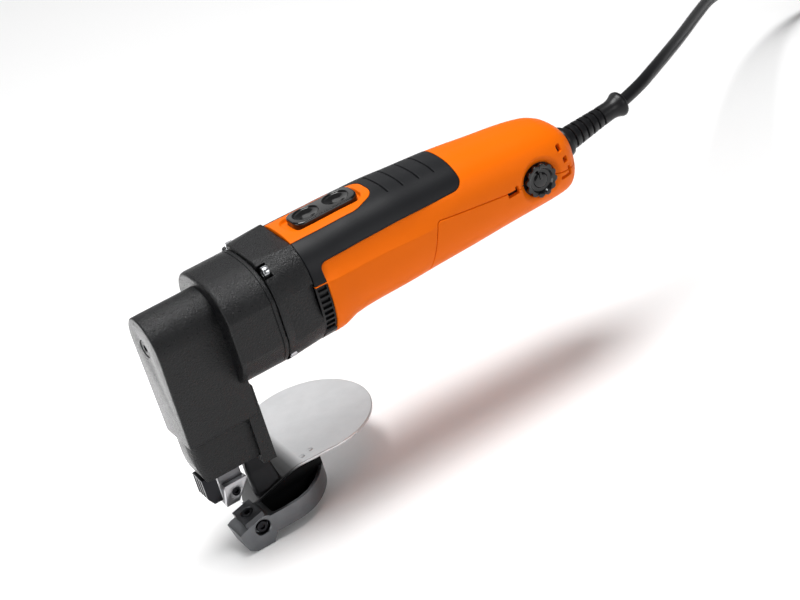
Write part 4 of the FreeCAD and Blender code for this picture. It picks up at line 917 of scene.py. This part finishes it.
# cord boot
B0, B1 = Vector((260.4, 0, 3.6)), Vector((309.0, 4.0, 7.4))
bd = B1 - B0
BLn = bd.length
prof_b = [(2.6, 8.2), (3.9, 8.9), (4.4, 9.05), (6.2, 8.9), (6.7, 8.6), (7.0, 7.4), (8.0, 7.1)]
for k in range(6):
    s_ = 9.2 + k * 4.4
    r_ = 7.0 - 0.26 * k
    prof_b += [(s_, r_), (s_ + 0.25, r_ - 0.2), (s_ + 0.35, r_ - 1.1), (s_ + 1.25, r_ - 1.15), (s_ + 1.35, r_ - 0.25), (s_ + 1.6, r_ - 0.04)]
prof_b += [(BLn - 9.4, 5.45), (BLn - 7.0, 5.75), (BLn - 4.6, 6.6), (BLn - 3.2, 7.3), (BLn - 2.2, 7.45), (BLn - 1.2, 7.2), (BLn - 0.4, 6.6), (BLn, 6.0), (BLn - 0.05, 3.9)]
boot = lathe("cord_boot_detail", tuple(B0), tuple(bd), prof_b, 72, 38)
finish_obj(boot, "black_rubber", "housing", ["cord_boot"])


# ------------------------------------------------------------------ blades and lower holder
SHEAR_Y, GAPB = -4.0, 0.3
DISC_R, DISC_C, DISC_Z, PLATE_T = 38.2, (82.4, 32.9), -95.4, 1.6


def ramp_z(x):
    t = np.clip((np.asarray(x, float) - 25.0) / 32.0, 0, 1)
    return -103.2 + (DISC_Z + 103.2) * (t * t * (3 - 2 * t) * 0.55 + 0.45 * t)


# upper blade: ground plate, one screw, two corners broken
yb = SHEAR_Y + GAPB
ub = prism("upper_blade_detail", [(13.7, yb, -85.2), (11.4, yb, -97.3), (19.3, yb, -97.3), (27.2, yb, -86.9), (27.2, yb, -85.2)], (0, -0.5 - yb, 0))
boolean(ub, cyl("c", (19.4, -9, -91.4), (0, 1, 0), 2.45, 12))
boolean(ub, lathe("c", (19.4, yb - 0.3, -91.4), (0, 1, 0), [(0, 3.3), (0.3, 3.0), (0.75, 2.55), (1.7, 2.5)], 64))
bevel(ub, 0.16, 2, 40); bake(ub, 30)
finish_obj(ub, "tool_steel", "ram", ["upper_blade"])
us = lathe("us", (19.4, yb + 0.35, -91.4), (0, 1, 0), [(0, 2.5), (0.1, 2.62), (0.35, 2.45), (8.0, 2.4)], 64)
boolean(us, prism("c", [(19.4 + 1.5 * math.cos(math.pi / 3 * i), yb - 1, -91.4 + 1.5 * math.sin(math.pi / 3 * i)) for i in range(6)], (0, 3.4, 0)))
us.name = "upper_blade_screw_detail"
bevel(us, 0.1, 2); bake(us, 30)
finish_obj(us, "black_steel", "ram", ["upper_blade_screw"])

# ram: the part that shows below the head, with the seat behind the upper blade
rm_low = boxo("r", 12.6, 26.2, -0.5, 4.9, -86.0, -60.0)
rm_seat = prism("r", [(12.6, -0.5, -85.2), (11.4, -0.5, -97.0), (19.3, -0.5, -97.0), (27.0, -0.5, -87.0), (27.0, -0.5, -85.2)], (0, 5.4, 0))
rm_neck = boxo("r", 12.6, 26.2, -4.9, 4.9, -72.0, -16.5)
rm_top = prism("r", [(12.6, y, zz) for y, zz in [(12.2 * math.cos(t), 11.5 + 12.2 * math.sin(t)) for t in [math.pi * i / 24 for i in range(25)]]] + [(12.6, -11.2, -12.0), (12.6, -4.9, -16.5), (12.6, 4.9, -16.5), (12.6, 11.2, -12.0)], (13.6, 0, 0))
for wz in (DZ, DZ + 5):
    boolean(rm_top, cyl("c", (10, 0, wz), (1, 0, 0), 9.4, 20))
boolean(rm_top, boxo("c", 10, 30, -9.4, 9.4, DZ, DZ + 5))
boolean(rm_seat, cyl("c", (19.4, -9, -91.4), (0, 1, 0), 2.5, 20))
for o in (rm_low, rm_seat, rm_neck, rm_top):
    bevel(o, 0.35, 3, 40); bake(o, 30)
ram = join([rm_low, rm_seat, rm_neck, rm_top], "ram_detail")
for p in ram.data.polygons:
    p.use_smooth = True
ram.data.set_sharp_from_angle(angle=math.radians(30))
finish_obj(ram, "ram_steel", "ram", ["ram"])

# ribbed guard
gd = prism("ram_guard_detail", [(1.6, -8.0, -72.0), (9.6, -8.0, -72.0), (9.6, -8.0, -89.0), (4.4, -8.0, -89.0), (1.6, -8.0, -84.4)], (0, 12.4, 0))
for gy in (-5.6, -2.2, 1.2):
    boolean(gd, boxo("c", -1.0, 2.8, gy, gy + 1.5, -95, -73.2))
bevel(gd, 0.28, 2, 40); bake(gd, 30)
finish_obj(gd, "black_steel", "housing", ["ram_guard"])

# holder: nose, curved arm, inner wall and the strut that rises through the cut
NOSE = [(11.7, -104.9), (7.7, -107.1), (10.2, -118.0), (14.5, -121.0), (25.5, -121.0), (29.3, -114.9), (27.2, -103.6), (24.0, -102.4)]
nose = prism("n", [(x, -20.4, zz) for x, zz in NOSE], (0, 16.4, 0))
tilt = math.radians(13.5)
bn, bu = Vector((math.cos(tilt), 0, math.sin(tilt))), Vector((-math.sin(tilt), 0, math.cos(tilt)))
BO, BLL, BT = Vector((12.5, 0, -101.9)), 11.8, 3.2


def blade_prism(name, t0, t1, y0, y1, l0, l1):
    o = BO + Vector((0, y0, 0))
    return prism(name, [tuple(o + bn * l0 + bu * t0), tuple(o + bn * l1 + bu * t0), tuple(o + bn * l1 + bu * t1), tuple(o + bn * l0 + bu * t1)], (0, y1 - y0, 0))


boolean(nose, blade_prism("c", -BT, 8.0, -22.0, 0.0, -4.0, BLL + 0.15))
boolean(nose, lathe("c", (21.6, -22, -108.9), (0, 1, 0), [(0, 4.9), (1.6, 4.9), (2.2, 4.5), (5.2, 4.5), (5.2, 2.05), (14.0, 2.05)], 64))
bevel(nose, 0.7, 4, 25); bake(nose, 30)


def catmull(P, n=10):
    P = np.asarray(P, float)
    A = np.vstack([2 * P[0] - P[1], P, 2 * P[-1] - P[-2]])
    out = []
    for i in range(1, len(A) - 2):
        for k in range(n):
            t = k / n
            out.append(0.5 * ((2 * A[i]) + (-A[i - 1] + A[i + 1]) * t + (2 * A[i - 1] - 5 * A[i] + 4 * A[i + 1] - A[i + 2]) * t * t + (-A[i - 1] + 3 * A[i] - 3 * A[i + 1] + A[i + 2]) * t ** 3))
    out.append(P[-1])
    return [tuple(q) for q in out]


near = catmull([(22.0, -20.3), (26.0, -20.5), (38.0, -20.9), (46.5, -20.3), (55.0, -17.4), (63.2, -11.2), (69.4, -3.6), (73.5, 4.5), (75.2, 13.0)], 8)
arm_pts = near + [(64.0, 13.0), (46.0, 3.6), (22.0, 3.6)]
arm = prism("a", [(x, y, -115.4) for x, y in arm_pts], (0, 0, 11.2))
POCKET = round_poly([(29.9, -18.7), (38.0, -19.1), (46.2, -18.5), (53.8, -15.9), (61.4, -10.0), (67.0, -3.6), (69.4, 0.6), (64.4, 0.2), (57.0, -3.9), (29.9, -4.05)], 1.6, 5)
pocket = POCKET
boolean(arm, lathe("c", (21.6, -22, -108.9), (0, 1, 0), [(0, 4.9), (1.6, 4.9), (2.2, 4.5), (5.2, 4.5), (5.2, 2.05), (14.0, 2.05)], 64))
boolean(arm, prism("c", [(x, y, -113.6) for x, y in pocket], (0, 0, 14.0)))
bevel(arm, 0.7, 4, 40); bake(arm, 30)
wall = prism("w", [(27.0, -4.0, -106.0), (57.0, -4.0, -106.0), (72.0, 0.0, -106.0), (72.0, 6.0, -106.0), (56.0, 2.6, -106.0), (27.0, 2.6, -106.0)], (0, 0, 9.0))
xs = np.linspace(20, 82, 40)
cutp = [(float(x), -20.0, float(ramp_z(x)) - PLATE_T - 0.02) for x in xs] + [(82.0, -20.0, -80.0), (20.0, -20.0, -80.0)]
boolean(wall, prism("c", cutp, (0, 60, 0)))
bevel(wall, 0.4, 2, 40); bake(wall, 30)
# strut: a grid between four sections, smooth in height
SEC = [(-105.0, [(30.0, -3.2), (48.0, -3.4), (48.0, 2.2), (30.0, 2.6)]), (-98.0, [(29.6, -1.4), (46.4, -2.0), (46.4, 3.4), (29.6, 4.2)]), (-88.0, [(29.6, 0.6), (44.6, -0.2), (44.6, 5.8), (29.6, 6.6)]),
       (-80.0, [(30.2, 0.4), (43.9, -0.6), (43.9, 7.2), (30.2, 7.8)]), (-72.3, [(31.6, -1.2), (43.6, -1.2), (43.6, 8.0), (31.6, 8.2)])]
zs = np.linspace(-105.0, -72.3, 44)
R_COR = 2.2
rows = []
for zz in zs:
    q = []
    for k in range(4):
        qx = pchip([s[0] for s in SEC], [s[1][k][0] for s in SEC], zz)
        qy = pchip([s[0] for s in SEC], [s[1][k][1] for s in SEC], zz)
        q.append((float(qx), float(qy)))
    rr = round_poly(q, R_COR, 7)
    rows.append([(x, y, zz) for x, y in rr])
WP = np.array(rows)
mlen = WP.shape[1]
wv = [tuple(p) for r_ in rows for p in r_]
wf = []
for j in range(len(rows) - 1):
    for i in range(mlen):
        wf.append([j * mlen + i, j * mlen + (i + 1) % mlen, (j + 1) * mlen + (i + 1) % mlen, (j + 1) * mlen + i])
wf.append(list(range(mlen))[::-1]); wf.append([(len(rows) - 1) * mlen + i for i in range(mlen)])
web = mesh_from("web", wv, wf, 35, merge=True)
tang = boxo("t", 31.4, 35.8, -6.0, 6.0, -76.0, -53.0)
bevel(tang, 0.4, 2); bake(tang, 30)
holder = join([nose, arm, wall, web, tang], "lower_holder_detail")
for p in holder.data.polygons:
    p.use_smooth = True
holder.data.set_sharp_from_angle(angle=math.radians(32))
finish_obj(holder, ["satin_steel", "painted_cavity_shade", "dark_steel"], "housing", ["lower_holder"])
pc_ = np.array([tuple(p.center) for p in holder.data.polygons]) * 1000 + ORG
pn_ = np.array([tuple(p.normal) for p in holder.data.polygons])
inp = sd_poly(pc_[:, 0], pc_[:, 1], POCKET) < 0.35
# painted shade, index 1: the near-black material on the pocket's inside and on the near faces under the ramp, where
# shade falls
painted_shade_index = np.where(inp & (pc_[:, 2] < -104.75) & (pc_[:, 2] > -114.4), 1, 0)
painted_shade_index = np.where((pc_[:, 0] > 26) & (pc_[:, 2] > -106.5) & (pc_[:, 2] < ramp_z(pc_[:, 0]) - 0.4) & (pn_[:, 1] < -0.6) & (pc_[:, 1] > -5.0) & (pc_[:, 1] < 1.0), 1, painted_shade_index)
# painted shade, index 2: the dark steel material on the strut and tang above the ramp, which sit in the head's shadow
painted_shade_index = np.where((pc_[:, 2] > -103.0) & (pc_[:, 0] > 29) & (painted_shade_index == 0) & (pc_[:, 2] > ramp_z(pc_[:, 0]) + 0.1), 2, painted_shade_index)
for p, k_ in zip(holder.data.polygons, painted_shade_index):
    p.material_index = int(k_)

lb = blade_prism("lower_blade_detail", -BT, 0.0, -20.2, SHEAR_Y, 0.0, BLL)
hole = BO + bn * (BLL / 2) + Vector((0, -12.2, 0))
boolean(lb, lathe("c", tuple(hole + bu * 0.5), tuple(-bu), [(0, 4.3), (0.5, 3.9), (1.9, 2.5), (10.0, 2.5)], 64))
bevel(lb, 0.16, 2, 40); bake(lb, 30)
# painted dark reflection: the lower blade uses a darker copy of the blade steel
finish_obj(lb, "blade_dark", "housing", ["lower_blade"])
ls = lathe("ls", tuple(hole - bu * 0.1), tuple(-bu), [(0, 3.5), (0.1, 3.65), (1.3, 2.35), (6.0, 1.95)], 64)
boolean(ls, prism("c", [tuple(hole + bu * 1.0 + bn * (1.9 * math.cos(math.pi / 3 * i)) + Vector((0, 1.9 * math.sin(math.pi / 3 * i), 0))) for i in range(6)], tuple(-bu * 3.2)))
ls.name = "lower_blade_screw_detail"
bevel(ls, 0.1, 2); bake(ls, 30)
finish_obj(ls, "black_steel", "housing", ["lower_blade_screw"])
cs_ = socket_cap("blade_clamp_screw_detail", (21.6, -16.82, -108.9), (0, 1, 0), 3.3, 2.6)
finish_obj(cs_, "black_steel", "housing", ["blade_clamp_screw"])

# deflector plate: round plate with its ramp pressed up from the same sheet
gx_ = np.concatenate([np.arange(23.0, 60.0, 0.4), np.arange(60.0, 122.5, 0.8)])
gy_ = np.concatenate([np.arange(-7.0, 26.0, 0.5), np.arange(26.0, 74.0, 0.8)])
GX, GY = np.meshgrid(gx_, gy_, indexing="ij")
GZ = ramp_z(GX)
pV, pQ, pL = grid(np.stack([GX, GY, GZ], -1))
if pV[:, 5].mean() < 0:
    pV[:, 3:6] *= -1
    pQ = pQ[:, ::-1]
RAMP = [(22.6, SHEAR_Y), (60.0, SHEAR_Y), (67.0, -4.5), (75.0, -4.55), (75.0, 20.0), (54.0, 30.0), (44.0, 26.0), (33.0, 19.0), (25.6, 11.0), (22.9, 4.5)]


def sd_plate(V):
    a_ = np.hypot(V[:, 0] - DISC_C[0], V[:, 1] - DISC_C[1]) - DISC_R
    b_ = sd_poly(V[:, 0], V[:, 1], RAMP)
    k = 1.6
    h = np.maximum(k - np.abs(a_ - b_), 0) / k
    return np.minimum(a_, b_) - h * h * k * 0.25


top = inside((pV, pQ, pL), sd_plate, 0.0, 0.35)
# fine-rimmed sheet: top, edge and underside in one closed skin
V_, Q_, L_ = top
used = np.zeros(len(V_), bool)
used[Q_.ravel()] = True
for g in L_:
    used[g] = True
rm_ = -np.ones(len(V_), int); rm_[used] = np.arange(used.sum())
Vt = V_[used]
ft = [list(q) for q in rm_[Q_]] + [[int(rm_[i]) for i in g] for g in L_]
drop_ = edge_drop(sd_plate(Vt), 0.35)
pt = Vt[:, :3] - Vt[:, 3:6] * drop_[:, None]
pb = Vt[:, :3] - Vt[:, 3:6] * (PLATE_T - drop_)[:, None]
cnt = {}
for g in ft:
    for a_, b_ in zip(g, g[1:] + g[:1]):
        k_ = (a_, b_) if a_ < b_ else (b_, a_)
        cnt[k_] = (cnt.get(k_, (0,))[0] + 1, a_, b_)
nt_ = len(pt)
fa = ft + [[i + nt_ for i in g][::-1] for g in ft] + [[b_, a_, a_ + nt_, b_ + nt_] for c_, a_, b_ in cnt.values() if c_ == 1]
plate = mesh_from("deflector_plate_detail", np.vstack([pt, pb]), fa, 50)
# painted shade and painted dark reflection on the pressed ramp: the plate's colour is multiplied down along X, darkest
# under the head and the strut, a little lighter towards the blade edge, and back to full colour on the disc
nt_p = MAT["plate_steel"].node_tree
bs_p = next(n for n in nt_p.nodes if n.type == "BSDF_PRINCIPLED")
tc_p = nt_p.nodes.new("ShaderNodeTexCoord")
sx_p = nt_p.nodes.new("ShaderNodeSeparateXYZ")
mr_p = nt_p.nodes.new("ShaderNodeMapRange")
shade_ramp_p = nt_p.nodes.new("ShaderNodeValToRGB")
shade_mult_p = nt_p.nodes.new("ShaderNodeMix")
mr_p.inputs["From Min"].default_value, mr_p.inputs["From Max"].default_value = 0.004, 0.054
el_p = shade_ramp_p.color_ramp.elements
# painted shade levels along X: (position, colour factor)
RAMP_SHADE_STOPS = [(0.02, 0.24), (0.14, 0.17), (0.28, 0.08), (0.54, 0.065), (0.62, 0.13), (0.69, 0.42), (0.77, 1.0)]
while len(el_p) < len(RAMP_SHADE_STOPS):
    el_p.new(0.5)
for e_, (ps_, vl_) in zip(el_p, RAMP_SHADE_STOPS):
    e_.position = ps_
    e_.color = (vl_, vl_, vl_, 1)
shade_mult_p.data_type, shade_mult_p.blend_type = "RGBA", "MULTIPLY"
shade_mult_p.inputs[0].default_value = 1.0
old_p = bs_p.inputs["Base Color"].links[0].from_socket
nt_p.links.new(tc_p.outputs["Object"], sx_p.inputs[0])
nt_p.links.new(sx_p.outputs["X"], mr_p.inputs["Value"])
nt_p.links.new(mr_p.outputs["Result"], shade_ramp_p.inputs["Fac"])
nt_p.links.new(old_p, shade_mult_p.inputs[6])
nt_p.links.new(shade_ramp_p.outputs["Color"], shade_mult_p.inputs[7])
nt_p.links.new(shade_mult_p.outputs[2], bs_p.inputs["Base Color"])
finish_obj(plate, "plate_steel", "housing", ["deflector_plate"])
rv = join([lathe("r", (x, y, DISC_Z - PLATE_T - 3.0), (0, 0, 1), [(0, 1.6), (4.58, 1.6), (4.66, 1.45)], 40) for x, y in ((62.5, 1.6), (68.8, 3.6))], "deflector_rivets_detail")
finish_obj(rv, "plate_steel", "housing", ["deflector_rivets"])

# cover screws seen from below
cvs = join([socket_cap("s", (x, y, -12.52), (0, 0, 1), 3.3, 2.4) for x, y in COV_SCREWS], "cover_screws_detail")
finish_obj(cvs, "zinc_steel", "housing", ["cover_screws"])

# ------------------------------------------------------------------ floor and light
fl = bpy.data.meshes.new("floor")
S = 9.0
fl.from_pydata([(-S, -S, -0.0002), (S, -S, -0.0002), (S, S, -0.0002), (-S, S, -0.0002)], [], [[0, 1, 2, 3]])
floor = bpy.data.objects.new("floor", fl)
scene.collection.objects.link(floor)
m, nt, b = new_mat("mat_floor")
b.inputs["Base Color"].default_value = (0.93, 0.93, 0.93, 1)
b.inputs["Roughness"].default_value = 0.65
b.inputs["Specular IOR Level"].default_value = 0.25
floor.data.materials.append(m)

world = bpy.data.worlds.new("world")
scene.world = world
world.use_nodes = True
bg = next(n for n in world.node_tree.nodes if n.type == "BACKGROUND")
bg.inputs["Color"].default_value = (1.0, 1.0, 1.0, 1)
bg.inputs["Strength"].default_value = 0.15


def area(name, loc, target, size, energy, size_y=None):
    d = bpy.data.lights.new(name, "AREA")
    d.energy = energy
    d.size = size
    if size_y:
        d.shape = "RECTANGLE"
        d.size_y = size_y
    o = bpy.data.objects.new(name, d)
    scene.collection.objects.link(o)
    o.location = loc
    o.rotation_euler = (Vector(loc) - Vector(target)).to_track_quat("Z", "Y").to_euler()
    return o


TGT = tuple(M(110, 0, -30))
area("key_top", (0.14, 0.07, 1.6), TGT, 0.72, 26.0, 0.58)
area("card_front", (-1.3, -0.25, 0.42), TGT, 0.9, 6.5, 0.8)
area("card_back", (0.12, 1.45, 0.95), TGT, 1.5, 3.5, 0.8)
sd_ = bpy.data.lights.new("floor_back", "SPOT")
sd_.energy, sd_.spot_size, sd_.spot_blend, sd_.shadow_soft_size = 70.0, math.radians(27), 0.9, 0.05
so_ = bpy.data.objects.new("floor_back", sd_)
scene.collection.objects.link(so_)
so_.location = (-0.42, 0.50, 0.80)
so_.rotation_euler = (Vector((-0.42, 0.50, 0.80)) - Vector((-0.14, 0.23, 0.0))).to_track_quat("Z", "Y").to_euler()
area("fill_right", (0.72, -1.65, 0.95), TGT, 0.8, 7.5)
scene.view_settings.view_transform = "Standard"
scene.view_settings.look = "None"
scene.view_settings.exposure = 0.0
